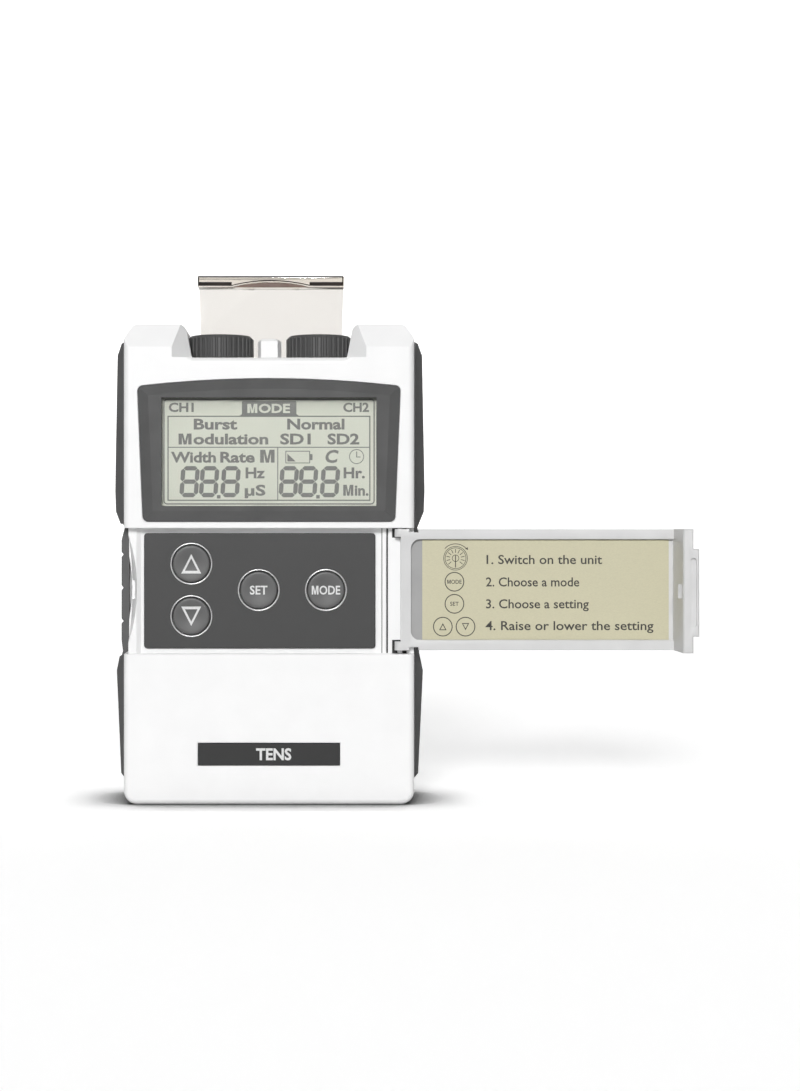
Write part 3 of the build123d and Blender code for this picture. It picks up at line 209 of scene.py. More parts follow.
def put(name, shape, material, body, smooth=True, replaces=(), recalc=True):
    """Make a mesh object from (points, faces), give it a finish and let it ride on a CAD body."""
    points, faces = shape
    mesh = bpy.data.meshes.new(name)
    mesh.from_pydata(points.tolist(), [], faces)
    if recalc:
        turn_outwards(mesh)
    if smooth:
        mesh.shade_smooth()
    mesh.materials.append(material)
    piece = add_object(name, mesh)
    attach(piece, body)
    if replaces:
        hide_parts(*replaces)
    print(name, "faces", len(mesh.polygons))
    return piece


def turn_outwards(mesh):
    """Merge points that coincide and turn every face outwards."""
    work = bmesh.new()
    work.from_mesh(mesh)
    bmesh.ops.remove_doubles(work, verts=work.verts, dist=1e-7)
    bmesh.ops.recalc_face_normals(work, faces=work.faces)
    work.to_mesh(mesh)
    work.free()


def sharpen(piece, degrees):
    """Let edges that turn by more than this many degrees shade as creases."""
    piece.data.set_sharp_from_angle(angle=np.radians(degrees))


# %% [markdown]
# ## Prisms, bands and lathes
# Ink, foil and thin plates are prisms: a flat outline carried a short way towards the viewer.
# A band is the same between an outer and an inner outline. A key cap or a ring is turned, so it
# is a lathe: a profile of radius and depth carried round an axis.


# %% Flat outlines
def stand(x, y, z):
    """Pack coordinate arrays, in metres, into one array of points."""
    return np.stack(np.broadcast_arrays(x, y, z), axis=-1).astype(float)


def circle_loop(centre, radius, count=48):
    """Points round a circle: centre plus radius times the cosine and sine of equal steps."""
    angle = np.linspace(0, 2 * np.pi, count, endpoint=False)
    return np.stack([centre[0] + radius * np.cos(angle), centre[1] + radius * np.sin(angle)], axis=-1)


def rounded_loop(x_range, z_range, radius, steps=6):
    """A rectangle whose corners are quarter circles of the given radius, from the lower right round."""
    quarter = np.linspace(0, np.pi / 2, steps)
    centres = [
        (x_range[1] - radius, z_range[0] + radius, -np.pi / 2),
        (x_range[1] - radius, z_range[1] - radius, 0),
        (x_range[0] + radius, z_range[1] - radius, np.pi / 2),
        (x_range[0] + radius, z_range[0] + radius, np.pi),
    ]
    arcs = [
        np.stack([x + radius * np.cos(start + quarter), z + radius * np.sin(start + quarter)], axis=-1)
        for x, z, start in centres
    ]
    return np.concatenate(arcs)


def prism(loop, front, depth):
    """A flat outline in x and z, carried from the front face backwards by depth."""
    rings = [stand(loop[:, 0], y, loop[:, 1]) for y in (front, front + depth)]
    return capped_tube(np.stack(rings))


def band(outer, inner, front, depth):
    """The strip between two outlines with equal numbers of points, as a closed ring of four walls."""
    walls = [(outer, front), (outer, front + depth), (inner, front + depth), (inner, front), (outer, front)]
    table = np.stack([stand(loop[:, 0], y, loop[:, 1]) for loop, y in walls])
    return table.reshape(-1, 3), grid_faces(len(walls), len(outer))


def lathe(profile, centre, count=64):
    """Points and faces of a profile of (radius, depth) pairs turned round a line along Y through
    centre (x, z)."""
    angle = np.linspace(0, 2 * np.pi, count, endpoint=False)
    radius, depth = profile[:, :1], profile[:, 1:]
    table = stand(centre[0] + radius * np.cos(angle), depth, centre[1] + radius * np.sin(angle))
    return table.reshape(-1, 3), grid_faces(*table.shape[:2])


print("circle of 8:", circle_loop((0, 0), 1, 8).shape)

# %% [markdown]
# ## Lettering
# Blender's own typeface does for captions. A text object becomes a mesh first; its points are
# then scaled so that a capital letter has the wanted height and the word fills the wanted
# width, which also gives the narrow bold look of printed panels. The word's own thickness is
# a few hundredths of a millimetre, like ink.


# %% Words as thin solids
def letter_m(stroke, height=0.7, width=0.66):
    """A straight-sided M as a prism one unit thick, because the typeface's splayed M closes up when bold."""
    inner = width / 2
    half = stroke * 0.62
    outline = [
        (0, 0), (stroke, 0), (stroke, height * 0.72), (inner - half * 0.7, 0), (inner + half * 0.7, 0),
        (width - stroke, height * 0.72), (width - stroke, 0), (width, 0), (width, height),
        (width - stroke * 1.35, height), (inner, height * 0.30), (stroke * 1.35, height), (0, height),
    ]
    flat = np.array(outline)
    rings = np.stack([np.column_stack([flat, np.full(len(flat), z)]) for z in (-0.5, 0.5)])
    return capped_tube(rings)


def raw_word(text, weight):
    """Points and faces of a word, one unit to a line, strokes grown by weight, lying in x and y."""
    if text.startswith("M"):
        capital = raw_word("H", weight)[0][:, 1]
        m_points, m_faces = letter_m(0.105 + 2 * weight, height=capital.max() - capital.min())
        m_points = m_points + (0, capital.min(), 0)
        if text == "M":
            return m_points, m_faces
        rest_points, rest_faces = raw_word(text[1:], weight)
        shift = m_points[:, 0].max() + 0.09 - rest_points[:, 0].min()
        return gather([(m_points, m_faces), (rest_points + (shift, 0, 0), rest_faces)])
    curve = bpy.data.curves.new("word", "FONT")
    curve.body = text
    curve.offset = weight
    curve.extrude = 0.5
    curve.resolution_u = 3
    holder = bpy.data.objects.new("word", curve)
    mesh = bpy.data.meshes.new_from_object(holder)
    points = np.empty(len(mesh.vertices) * 3)
    mesh.vertices.foreach_get("co", points)
    faces = [list(face.vertices) for face in mesh.polygons]
    bpy.data.objects.remove(holder)
    bpy.data.curves.remove(curve)
    bpy.data.meshes.remove(mesh)
    return points.reshape(-1, 3), faces


def word(text, x_range, base, cap, front, weight=0.012, slant=0.0, depth=0.03 * MM):
    """A word on a base line: capitals cap high, width filling x_range, face at depth front.
    x is the scaled letter place plus slant times height; the thickness runs along y."""
    points, faces = raw_word(text, weight)
    capital = raw_word("H", weight)[0][:, 1]
    low, high = points[:, 0].min(), points[:, 0].max()
    height = (points[:, 1] - capital.min()) / (capital.max() - capital.min()) * cap
    across = x_range[0] + (points[:, 0] - low) / (high - low) * (x_range[1] - x_range[0])
    y = front + (0.5 - points[:, 2]) * depth
    return stand(across + slant * height, y, base + height), faces


print("sample word:", len(raw_word("Aa", 0.0)[0]), "points")

# %% [markdown]
# ## How a finish is built
# Moulded plastic is never one flat colour: the tool leaves a fine grain, the polish varies, and
# the pigment is slightly uneven. All of these are noises in Object coordinates, whose units are
# metres, so a grain of 0.2 mm is really 0.2 mm on every piece. The small helpers below each
# wire one of them to one socket of the shader.


# %% Helpers for node finishes
def new_finish(name, colour, roughness, metallic=0.0, coat=0.0, ior=1.5):
    """A material with one Principled shader whose uniform values sit on its own sockets."""
    material = bpy.data.materials.new(name)
    material.use_nodes = True
    shader = material.node_tree.nodes["Principled BSDF"]
    shader.inputs["Base Color"].default_value = (*colour, 1)
    shader.inputs["Roughness"].default_value = roughness
    shader.inputs["Metallic"].default_value = metallic
    shader.inputs["Coat Weight"].default_value = coat
    shader.inputs["Coat Roughness"].default_value = 0.08
    shader.inputs["IOR"].default_value = ior
    return material


def shader_of(material):
    """The Principled shader of a material made by new_finish."""
    return material.node_tree.nodes["Principled BSDF"]


def place_in(material, size, stretch=(1, 1, 1)):
    """Object coordinates divided by a size in metres and stretched, as a vector socket."""
    object_place = add_node(material.node_tree, "TexCoord").outputs["Object"]
    scale = [s / size for s in stretch]
    return add_node(material.node_tree, "Mapping", {"Vector": object_place, "Scale": scale}).outputs[0]


def noise(material, size, stretch=(1, 1, 1), detail=3.0):
    """Noise with lumps about size metres across."""
    inputs = {"Scale": 1.0, "Detail": detail, "Vector": place_in(material, size, stretch)}
    return add_node(material.node_tree, "TexNoise", inputs).outputs["Fac"]


def spread(material, value, low, high, start=0.3, end=0.7):
    """The value stretched so that start becomes low and end becomes high, held at both ends."""
    ends = {"From Min": start, "From Max": end, "To Min": low, "To Max": high}
    return add_node(material.node_tree, "MapRange", {"Value": value, **ends}).outputs[0]


def blend_colours(material, factor, first, second):
    """A colour that goes from first to second, each a colour or a socket, as the factor goes
    from 0 to 1. Sockets 6, 7 and 2 are the Mix node's two colours and its result."""
    ends = [(*colour, 1) if isinstance(colour, tuple) else colour for colour in (first, second)]
    inputs = {0: factor, 6: ends[0], 7: ends[1]}
    return add_node(material.node_tree, "Mix", inputs, data_type="RGBA").outputs[2]


def paint(material, colour_socket):
    """Send a colour to the shader."""
    material.node_tree.links.new(colour_socket, shader_of(material).inputs["Base Color"])


def vary_roughness(material, value, smooth, rough):
    """Let the polish go from smooth to rough with a value."""
    socket = spread(material, value, smooth, rough)
    material.node_tree.links.new(socket, shader_of(material).inputs["Roughness"])


def emboss(material, value, height):
    """Raise the surface by height metres where the value is 1."""
    bump = add_node(material.node_tree, "Bump", {"Distance": height, "Strength": 0.6, "Height": value})
    material.node_tree.links.new(bump.outputs[0], shader_of(material).inputs["Normal"])


def grey(level, warmth=0.0):
    """A near grey of linear brightness level, a share warmth warmer in red than in blue."""
    return (level * (1 + warmth), level, level * (1 - warmth))


print("mid grey:", grey(0.5, 0.02))

# %% [markdown]
# ## Plastics and rubber
# One recipe covers every opaque moulding: two shades of the pigment mixed by a cloudy noise, a
# polish that wanders a little, and a fine grain pressed into the surface. What differs is the
# size and depth of the grain, from the polished display bezel to the soft grips.


# %% Moulded finishes
def moulded(name, dark, light, polish, grain, relief, coat=0.0):
    """Moulded plastic or rubber: dark and light shades, polish as (smooth, rough), and the
    grain's size and relief in millimetres."""
    material = new_finish(name, light, polish[1], coat=coat)
    cloud = noise(material, 6 * MM)
    fine = noise(material, grain * MM, detail=2.0)
    paint(material, blend_colours(material, spread(material, cloud, 0, 1), dark, light))
    vary_roughness(material, cloud, *polish)
    emboss(material, fine, relief * MM)
    return material


MOULDINGS = {  # slot: name, dark and light shade, polish, grain and relief in mm
    "white_plastic": ("satin_white_case", grey(0.91), grey(0.93), (0.34, 0.40), 0.22, 0.0022),
    "grip_rubber": ("soft_grip_rubber", grey(0.088), grey(0.104), (0.55, 0.66), 0.16, 0.010),
    "bezel_plastic": ("polished_dark_bezel", grey(0.092), grey(0.100), (0.16, 0.22), 0.30, 0.0008),
    "keypad_plastic": ("satin_key_panel", grey(0.032), grey(0.038), (0.46, 0.54), 0.14, 0.004),
    "button_plastic": ("satin_key_cap", grey(0.094), grey(0.104), (0.36, 0.42), 0.12, 0.003),
    "cover_plastic": ("pale_cover_moulding", grey(0.66), grey(0.70), (0.32, 0.40), 0.22, 0.0022),
    "black_plastic": ("black_moulding", grey(0.022), grey(0.030), (0.40, 0.50), 0.18, 0.006),
    "dial_plastic": ("dial_moulding", grey(0.060), grey(0.072), (0.42, 0.50), 0.16, 0.005),
    "chip_black": ("chip_epoxy", grey(0.015), grey(0.022), (0.50, 0.62), 0.10, 0.006),
    "capacitor_sleeve": ("shrunk_sleeve", (0.02, 0.03, 0.07), (0.03, 0.04, 0.09), (0.25, 0.33), 0.4, 0.004),
    "red_wire": ("red_wire_sleeve", (0.42, 0.015, 0.012), (0.50, 0.02, 0.016), (0.35, 0.45), 0.2, 0.004),
    "zebra_rubber": ("striped_contact_rubber", grey(0.20), grey(0.26), (0.55, 0.65), 0.1, 0.004),
    "foam_pad": ("open_cell_foam", grey(0.018), grey(0.050), (0.85, 0.95), 0.45, 0.12),
}
finishes = {slot: moulded(*recipe) for slot, recipe in MOULDINGS.items()}
print("moulded finishes:", len(finishes))

# %% [markdown]
# ## Metals
# Steel, brass and foil differ from plastic in one number, Metallic, and in how they are marked:
# rolled and drawn metal has fine lines all one way. A noise stretched fifty to one along one
# axis gives those lines, and the same noise drives the polish and a slight relief. The edges of
# the transformers' iron sheets are the same lines, only deeper.


# %% Metal finishes
def brushed(name, dark, light, polish, line, direction, metallic=1.0, relief=0.002):
    """Metal with lines running along direction (an axis number), each about line mm wide and
    relief mm high."""
    material = new_finish(name, light, polish[1], metallic=metallic)
    stretch = [1.0, 1.0, 1.0]
    stretch[direction] = 0.02
    lines = noise(material, line * MM, stretch, detail=4.0)
    paint(material, blend_colours(material, spread(material, lines, 0, 1), dark, light))
    vary_roughness(material, lines, *polish)
    emboss(material, lines, relief * MM)
    return material


METALS = {  # slot: name, dark and light shade, polish, line in mm, direction, metallic
    "screw_steel": ("zinc_plated_screw", grey(0.50), grey(0.62, 0.01), (0.24, 0.40), 0.12, 0, 1.0),
    "pin_steel": ("ground_pin", grey(0.52), grey(0.66), (0.16, 0.28), 0.05, 0, 1.0),
    "component_steel": ("tinned_can", grey(0.46), grey(0.60, 0.02), (0.26, 0.42), 0.15, 2, 1.0),
    "brass_metal": ("turned_brass", (0.58, 0.40, 0.14), (0.72, 0.52, 0.22), (0.2, 0.36), 0.08, 1, 1.0),
    "silver_label": ("silver_foil_label", grey(0.60), grey(0.70), (0.36, 0.50), 0.10, 0, 0.7),
    "silver_ring": ("satin_ring", grey(0.62), grey(0.70), (0.26, 0.38), 0.08, 0, 0.7),
    "dark_plate": ("dark_name_plate", grey(0.010), grey(0.014), (0.50, 0.62), 0.07, 0, 0.0),
    "battery_can": ("battery_jacket", (0.10, 0.11, 0.13), (0.16, 0.17, 0.20), (0.2, 0.34), 0.3, 2, 0.6),
    "lcd_backing": ("silver_reflector", grey(0.5), grey(0.62), (0.3, 0.45), 0.1, 0, 1.0),
    "transformer_iron": ("laminated_iron", grey(0.10), grey(0.24, 0.03), (0.35, 0.5), 0.35, 0, 0.8, 0.05),
}
finishes.update({slot: brushed(*recipe) for slot, recipe in METALS.items()})
print("with metals:", len(finishes))

# %% [markdown]
# Ink and paint are the plainest finishes: a thin matt film whose depth of colour wanders.


# %% Printed finishes
def printed(name, dark, light, cloud, relief=0.0):
    """Ink or paint: two shades mixed by a noise of cloud mm, raised by relief mm."""
    material = new_finish(name, light, 0.5)
    patches = noise(material, cloud * MM)
    paint(material, blend_colours(material, spread(material, patches, 0, 1), dark, light))
    if relief:
        emboss(material, patches, relief * MM)
    return material


display_black = printed("display_ink", (0.056, 0.058, 0.052), (0.068, 0.070, 0.063), 5)
key_paint = printed("pale_key_paint", grey(0.66), grey(0.76), 0.4, relief=0.004)
print_ink = printed("label_printing_ink", (0.035, 0.033, 0.028), (0.055, 0.05, 0.042), 0.3)
print("printed:", display_black.name, key_paint.name, print_ink.name)

# %% [markdown]
# ## Clear mouldings
# The window and the dial cover are clear acrylic. A glass shader alone would throw a black
# shadow, because lamps aren't traced through bent rays here, so rays that only ask whether a
# lamp is blocked pass straight through a tinted clear shader instead. The tint stands for the
# slight smoke of the real moulding, and an absorption inside deepens it where it is thick.


# %% Clear finishes
SMOKE_DENSITY = 60.0  # per metre


def clear(name, tint, shadow_tint, roughness, smoke=None, ripple=0.0006 * MM):
    """Clear plastic: bends light by 1.49, tints it, and lets lamps through with shadow_tint.
    Smoke is a colour that is taken out of the light all the way through the thickness."""
    material = new_finish(name, tint, roughness, ior=1.49)
    tree, shader = material.node_tree, shader_of(material)
    shader.inputs["Transmission Weight"].default_value = 1.0
    emboss(material, noise(material, 3 * MM, detail=1.0), ripple)
    passing = add_node(tree, "BsdfTransparent", {"Color": (*shadow_tint, 1)})
    to_lamp = add_node(tree, "LightPath").outputs["Is Shadow Ray"]
    mix = add_node(tree, "MixShader", {0: to_lamp, 1: shader.outputs[0], 2: passing.outputs[0]})
    out = tree.nodes["Material Output"]
    tree.links.new(mix.outputs[0], out.inputs["Surface"])
    if smoke:
        inside = add_node(tree, "VolumeAbsorption", {"Color": (*smoke, 1), "Density": SMOKE_DENSITY})
        tree.links.new(inside.outputs[0], out.inputs["Volume"])
    return material


finishes["clear_window"] = clear("clear_window", grey(0.985), grey(0.97), 0.02)
lid_tint, lid_shadow, lid_smoke = (0.97, 0.95, 0.92), (0.75, 0.72, 0.69), (0.70, 0.55, 0.33)
finishes["smoky_clear"] = clear("smoky_dial_cover", lid_tint, lid_shadow, 0.05, smoke=lid_smoke)
print("clear finishes added")

# %% [markdown]
# ## The liquid-crystal cell
# A cell with no ink is not blank: the polariser gives it a green-grey cast, and close up a very
# fine brushing of the reflector shows behind it. Along its upper edge it is darker, a painted
# shade that stands in for the shadow of the bezel.
# The label inside the cover is a cream card whose fibre runs along it.

# %% Cell and label card
CELL_DARK, CELL_LIGHT = (0.315, 0.325, 0.272), (0.335, 0.345, 0.29)
CELL_PAINTED_SHADE = (0.235, 0.243, 0.203)
cell = new_finish("display_cell", CELL_LIGHT, 0.40)
cell_cloud = noise(cell, 9 * MM, detail=1.0)
cell_lines = noise(cell, 0.08 * MM, (0.03, 1, 1))
cell_even = blend_colours(cell, spread(cell, cell_cloud, 0, 1), CELL_DARK, CELL_LIGHT)
cell_height = add_node(cell.node_tree, "SeparateXYZ", {0: place_in(cell, 1.0)})
# Painted shade: over the top 5 mm of the window the cell's colour darkens, in place of the bezel's shadow.
cell_top = extent("display_window")[1][2]
bezel_shadow_mask = spread(cell, cell_height.outputs["Z"], 0, 1, cell_top - 5.0 * MM, cell_top - 1.0 * MM)
paint(cell, blend_colours(cell, bezel_shadow_mask, cell_even, CELL_PAINTED_SHADE))
vary_roughness(cell, cell_lines, 0.48, 0.58)
emboss(cell, cell_lines, 0.0004 * MM)
finishes["lcd_glass"] = cell

label = new_finish("cream_card_label", (0.585, 0.555, 0.395), 0.55)
label_fibre = noise(label, 0.35 * MM, (1, 1, 3), detail=6.0)
paint(label, blend_colours(label, spread(label, label_fibre, 0, 1), (0.56, 0.53, 0.375), (0.61, 0.58, 0.41)))
vary_roughness(label, label_fibre, 0.48, 0.62)
emboss(label, label_fibre, 0.006 * MM)
finishes["cream_label"] = label

# %% [markdown]
# ## The circuit board
# Green solder mask over copper: the copper shows as slightly lighter square fields with darker
# lines between them, and rows of small tinned pads dot the board. Both are Voronoi patterns. In
# the first, distance is the longer of the steps along the axes, which makes its fields square.


# %% Board finish
def board_finish():
    """Solder mask whose colour comes from the distance to the middle of a copper field or a pad."""
    material = new_finish("green_solder_mask", (0.01, 0.12, 0.05), 0.3, coat=0.4)
    tree = material.node_tree
    field_inputs = {"Scale": 1.0, "Vector": place_in(material, 3.2 * MM)}
    squares = add_node(tree, "TexVoronoi", field_inputs, feature="F1", distance="CHEBYCHEV")
    fields = spread(material, squares.outputs["Distance"], 1, 0, 0.42, 0.47)
    pad_inputs = {"Scale": 1.0, "Randomness": 0.15, "Vector": place_in(material, 2.54 * MM)}
    rounds = add_node(tree, "TexVoronoi", pad_inputs)
    pads = spread(material, rounds.outputs["Distance"], 1, 0, 0.16, 0.19)
    mask = blend_colours(material, fields, (0.012, 0.13, 0.05), (0.03, 0.24, 0.09))
    paint(material, blend_colours(material, pads, mask, (0.55, 0.55, 0.52)))
    vary_roughness(material, noise(material, 2 * MM), 0.22, 0.34)
    emboss(material, fields, 0.02 * MM)
    return material


finishes["board_green"] = board_finish()
print("finishes:", len(finishes))

# %% [markdown]
# ## Dressing the CAD nodes
# Every node came in with a plain material that carries the name of its slot, so that name says
# which of the finishes above it takes.

# %% Give each node its finish
for node in nodes.values():
    for place in node.material_slots:
        place.material = finishes[place.material.name]
print("dressed:", len(nodes))

# %% [markdown]
# ## The table
# The object stands on a white sweep: flat under it, then curving up far behind, so that no
# horizon line shows. It is a profile in y and z drawn out sideways, with a very faint paper
# grain. Where something stands close to it the paper is darkened, which gives the object a
# firm contact shadow, and elsewhere it is lifted to white for the camera alone, so that it
# doesn't light the object from below.


# %% White sweep
def sweep_profile(near=-0.7, far=0.9, radius=0.5, height=1.4, steps=24):
    """Points in y and z: a flat run, a quarter circle of the given radius, then a rise to height."""
    angle = np.linspace(0, np.pi / 2, steps)
    bend = np.stack([far + radius * np.sin(angle), radius * (1 - np.cos(angle))], axis=-1)
    return np.concatenate([[[near, 0]], bend, [[far + radius, height]]])


sweep = sweep_profile()
sweep_x = np.linspace(-1.6, 1.6, 3)
sweep_points = stand(sweep_x[None, :], sweep[:, :1], sweep[:, 1:])
row, column = np.meshgrid(np.arange(len(sweep) - 1), np.arange(len(sweep_x) - 1), indexing="ij")
corner = (row * len(sweep_x) + column).ravel()
sweep_faces = np.stack([corner, corner + 1, corner + 1 + len(sweep_x), corner + len(sweep_x)], axis=-1)
print("sweep points:", sweep_points.shape)

# %% Paper that darkens near what stands on it
REACH = 14 * MM
CONTACT_DARK = 0.10
LIFT = 0.46
paper = new_finish("white_paper", grey(0.93), 0.9)
paper_grain = noise(paper, 0.6 * MM, detail=4.0)
emboss(paper, paper_grain, 0.01 * MM)
open_share = add_node(paper.node_tree, "AmbientOcclusion", {"Distance": REACH}, samples=6).outputs["AO"]
lit_paper = blend_colours(paper, spread(paper, paper_grain, 0, 1), grey(0.92), grey(0.94))
contact = spread(paper, open_share, 0, 1, 0.48, 0.78)
paint(paper, blend_colours(paper, contact, grey(CONTACT_DARK), lit_paper))
lift = spread(paper, open_share, 0.0, LIFT, 0.62, 1.0)
to_camera = add_node(paper.node_tree, "LightPath").outputs["Is Camera Ray"]
glow = add_node(paper.node_tree, "Math", {0: lift, 1: to_camera}, operation="MULTIPLY")
shader_of(paper).inputs["Emission Color"].default_value = (1, 1, 1, 1)
paper.node_tree.links.new(glow.outputs[0], shader_of(paper).inputs["Emission Strength"])
floor_mesh = bpy.data.meshes.new("white_sweep")
floor_mesh.from_pydata(sweep_points.reshape(-1, 3).tolist(), [], sweep_faces.tolist())
floor_mesh.shade_smooth()
floor_mesh.materials.append(paper)
add_object("white_sweep", floor_mesh)
print("paper lifted by", LIFT, "away from the object")

# %% [markdown]
# ## Ink on the display
# Every segment of a liquid-crystal display is drawn at once here, as on a unit shown with all
# its segments on. The drawing is measured in millimetres from the middle of the glass's lower
# edge, and each line, frame and letter is a prism a few hundredths of a millimetre thick, just
# proud of the glass and behind the clear window.


# %% Where the drawing lies
INK_DEPTH = 0.04 * MM
LINE = 0.26  # drawn line, mm
glass_low, glass_high = extent("lcd_glass")
glass_front = glass_low[1]
screen_origin = np.array([(glass_low[0] + glass_high[0]) / 2, glass_low[2]])


def on_screen(loop):
    """A loop in millimetres from the middle of the glass's lower edge, as metres in x and z."""
    return screen_origin + np.asarray(loop, float) * MM


def ink(loop):
    """One filled shape of display ink."""
    return prism(on_screen(loop), glass_front - INK_DEPTH / 2, INK_DEPTH)


def frame_line(x_range, z_range, radius, line=LINE):
    """A drawn rectangle: the band between a rounded rectangle and the same one moved in by a line."""
    outer = rounded_loop(x_range, z_range, radius)
    inner_x, inner_z = [(low + line, high - line) for low, high in (x_range, z_range)]
    inner = rounded_loop(inner_x, inner_z, max(radius - line, 0.02))
    return band(on_screen(outer), on_screen(inner), glass_front - INK_DEPTH / 2, INK_DEPTH)


def bar(x_range, z_range):
    """The corners of a rectangle, anticlockwise."""
    (left, right), (low, high) = x_range, z_range
    return [(left, low), (right, low), (right, high), (left, high)]


print("screen origin, mm:", (screen_origin / MM).round(2))

# %% [markdown]
# A seven-segment figure is seven equal bars with pointed ends. Each bar is a hexagon between
# two of the figure's six corner points, drawn in by a small gap, and the whole figure leans.


# %% Seven-segment figures
def segment(start, end, half=0.46, gap=0.06):
    """A hexagon from start to end: points in the middle of each end, and corners a half width in."""
    start, end = np.array(start, float), np.array(end, float)
    along = (end - start) / np.linalg.norm(end - start)
    side = np.array([-along[1], along[0]])
    tip, far_tip = start + along * gap, end - along * gap
    ahead, back = (along + side) * half, (along - side) * half
    return np.array([tip, tip + back, far_tip - ahead, far_tip, far_tip - back, tip + ahead])


def figure_eight(left, low, width=3.02, height=5.62, lean=0.07):
    """All seven bars of one figure whose corner points start at (left, low)."""
    corners = [(0, 0), (width, 0), (width, height / 2), (width, height), (0, height), (0, height / 2)]
    ends = [(0, 1), (1, 2), (2, 3), (3, 4), (4, 5), (5, 0), (5, 2)]
    bars = [segment(corners[a], corners[b]) for a, b in ends]
    leaning = np.array([[1, 0], [lean, 1]])
    return [(left, low) + loop @ leaning for loop in bars]


FIGURE_LEFTS = (-18.4, -14.3, -9.8, 2.45, 6.5, 11.1)
FIGURE_LOW = 3.6
figures = [loop for left in FIGURE_LEFTS for loop in figure_eight(left, FIGURE_LOW)]
figures += [bar((left, left + 0.75), (2.87, 3.6)) for left in (-10.95, 9.9)]
print("figure bars:", len(figures))

# %% [markdown]
# The fixed legends name the modes and units. A solid tab across the top of the inner frame
# carries its word in the bare colour of the cell.

# %% Legends, frames and icons
LEGENDS = [  # word, left, right, base line and capital height
    ("CH1", -21.08, -15.82, 21.05, 1.96),
    ("CH2", 15.58, 21.0, 21.05, 1.96),
    ("Burst", -15.82, -6.68, 17.35, 2.30),
    ("Normal", 3.81, 15.85, 17.35, 2.30),
    ("Modulation", -19.02, -0.16, 14.22, 2.30),
    ("SD1", 2.34, 8.75, 14.22, 2.30),
    ("SD2", 12.28, 18.96, 14.22, 2.30),
    ("Width", -20.61, -11.16, 10.40, 2.30),
    ("Rate", -10.25, -3.00, 10.40, 2.30),
    ("M", -1.87, 1.16, 10.40, 2.72),
    ("Hz", -4.94, -0.86, 7.10, 2.30),
    ("µS", -5.12, -0.73, 3.45, 2.30),
    ("Hr.", 15.66, 20.14, 7.10, 2.30),
    ("Min.", 15.58, 20.9, 3.45, 2.30),
]


def screen_word(text, left, right, base, cap, lift=0.0, slant=0.0):
    """A legend placed on the glass; lift brings it nearer to the viewer by that many metres."""
    x_range = screen_origin[0] + np.array([left, right]) * MM
    front = glass_front - INK_DEPTH / 2 - lift
    base_z = screen_origin[1] + base * MM
    return word(text, x_range, base_z, cap * MM, front, weight=0.033, slant=slant, depth=INK_DEPTH)


legend_shapes = [screen_word(*row) for row in LEGENDS]
legend_shapes.append(screen_word("C", 11.6, 14.2, 10.35, 2.72, slant=0.18))
TAB = [
    (-6.2, 20.27), (6.25, 20.27), (5.75, 20.6), (5.75, 23.2),
    (5.6, 23.36), (-5.55, 23.36), (-5.7, 23.2), (-5.7, 20.6),
]
icons = [
    TAB,
    bar((-21.3, 21.3), (13.53, 13.73)),
    bar((1.73, 1.93), (2.37, 13.6)),
    bar((8.62, 9.13), (10.95, 12.2)),
    [(3.85, 10.65), (5.6, 10.65), (3.85, 12.3)],
    bar((18.32, 18.5), (11.6, 12.75)),
    bar((18.32, 19.2), (11.5, 11.68)),
]
CLOCK = (18.39, 11.68)
clock_edges = [on_screen(circle_loop(CLOCK, radius)) for radius in (1.56, 1.40)]
clock_ring = band(*clock_edges, glass_front - INK_DEPTH / 2, INK_DEPTH)
frames = [
    frame_line((-22.2, 22.2), (1.6, 23.85), 0.8),
    frame_line((-21.35, 21.3), (2.37, 20.27), 0.08),
    frame_line((3.43, 8.62), (10.25, 12.9), 0.12, line=0.18),
]
all_ink = [ink(loop) for loop in icons + figures] + frames + [clock_ring] + legend_shapes
put("display_ink", gather(all_ink), display_black, "case", smooth=False)
tab_word = screen_word("MODE", -4.56, 4.40, 20.84, 1.92, lift=0.02 * MM)
put("display_tab_word", tab_word, cell, "case", smooth=False)

# %% [markdown]
# ## Key caps
# Each cap is a turned shape with a shallow dish for the fingertip, a small round at the rim, a
# wide flange that stops it falling out, and a stem that meets the switch. The profile runs from
# the middle of the face to the middle of the stem, so turning it gives a closed solid.

# %% Cap profile
CAP_RADIUS = 3.92 * MM
CAP_ROUND = 0.35 * MM
DISH = 0.16 * MM
STEM_RADIUS = 1.3 * MM


def dish_depth(radius):
    """How far the face lies behind its rim: the dish times one minus the square of the radius share."""
    share = np.clip(radius / (CAP_RADIUS - CAP_ROUND), 0, 1)
    return DISH * (1 - share**2) ** 2


def cap_profile(front, back, flange_radius):
    """Radius and depth: dished face, quarter-round rim, side, flange and stem."""
    face_radius = np.linspace(0, CAP_RADIUS - CAP_ROUND, 14)
    face = np.stack([face_radius, front + dish_depth(face_radius)], axis=-1)
    angle = np.linspace(0, np.pi / 2, 7)[1:]
    rim = np.stack(
        [CAP_RADIUS - CAP_ROUND + CAP_ROUND * np.sin(angle), front + CAP_ROUND * (1 - np.cos(angle))], axis=-1
    )
    stem_front = back - 0.58 * MM
    steps = [
        (CAP_RADIUS, stem_front - 0.4 * MM),
        (flange_radius, stem_front - 0.4 * MM),
        (flange_radius, stem_front),
        (STEM_RADIUS, stem_front),
        (STEM_RADIUS, back),
        (0, back),
    ]
    return np.concatenate([face, rim, steps])


KEYS = ("up", "down", "set", "mode")
key_centres = {}
for key in KEYS:
    key_low, key_high = extent(f"{key}_button")
    centre = (key_low + key_high)[[0, 2]] / 2
    key_centres[key] = (centre, key_low[1])
    profile = cap_profile(key_low[1], key_high[1], (key_high[0] - key_low[0]) / 2)
    shape, finish, stands_for = lathe(profile, centre), finishes["button_plastic"], (f"{key}_button",)
    cap = put(f"{key}_cap", shape, finish, f"{key}_key", replaces=stands_for)
    sharpen(cap, 50)

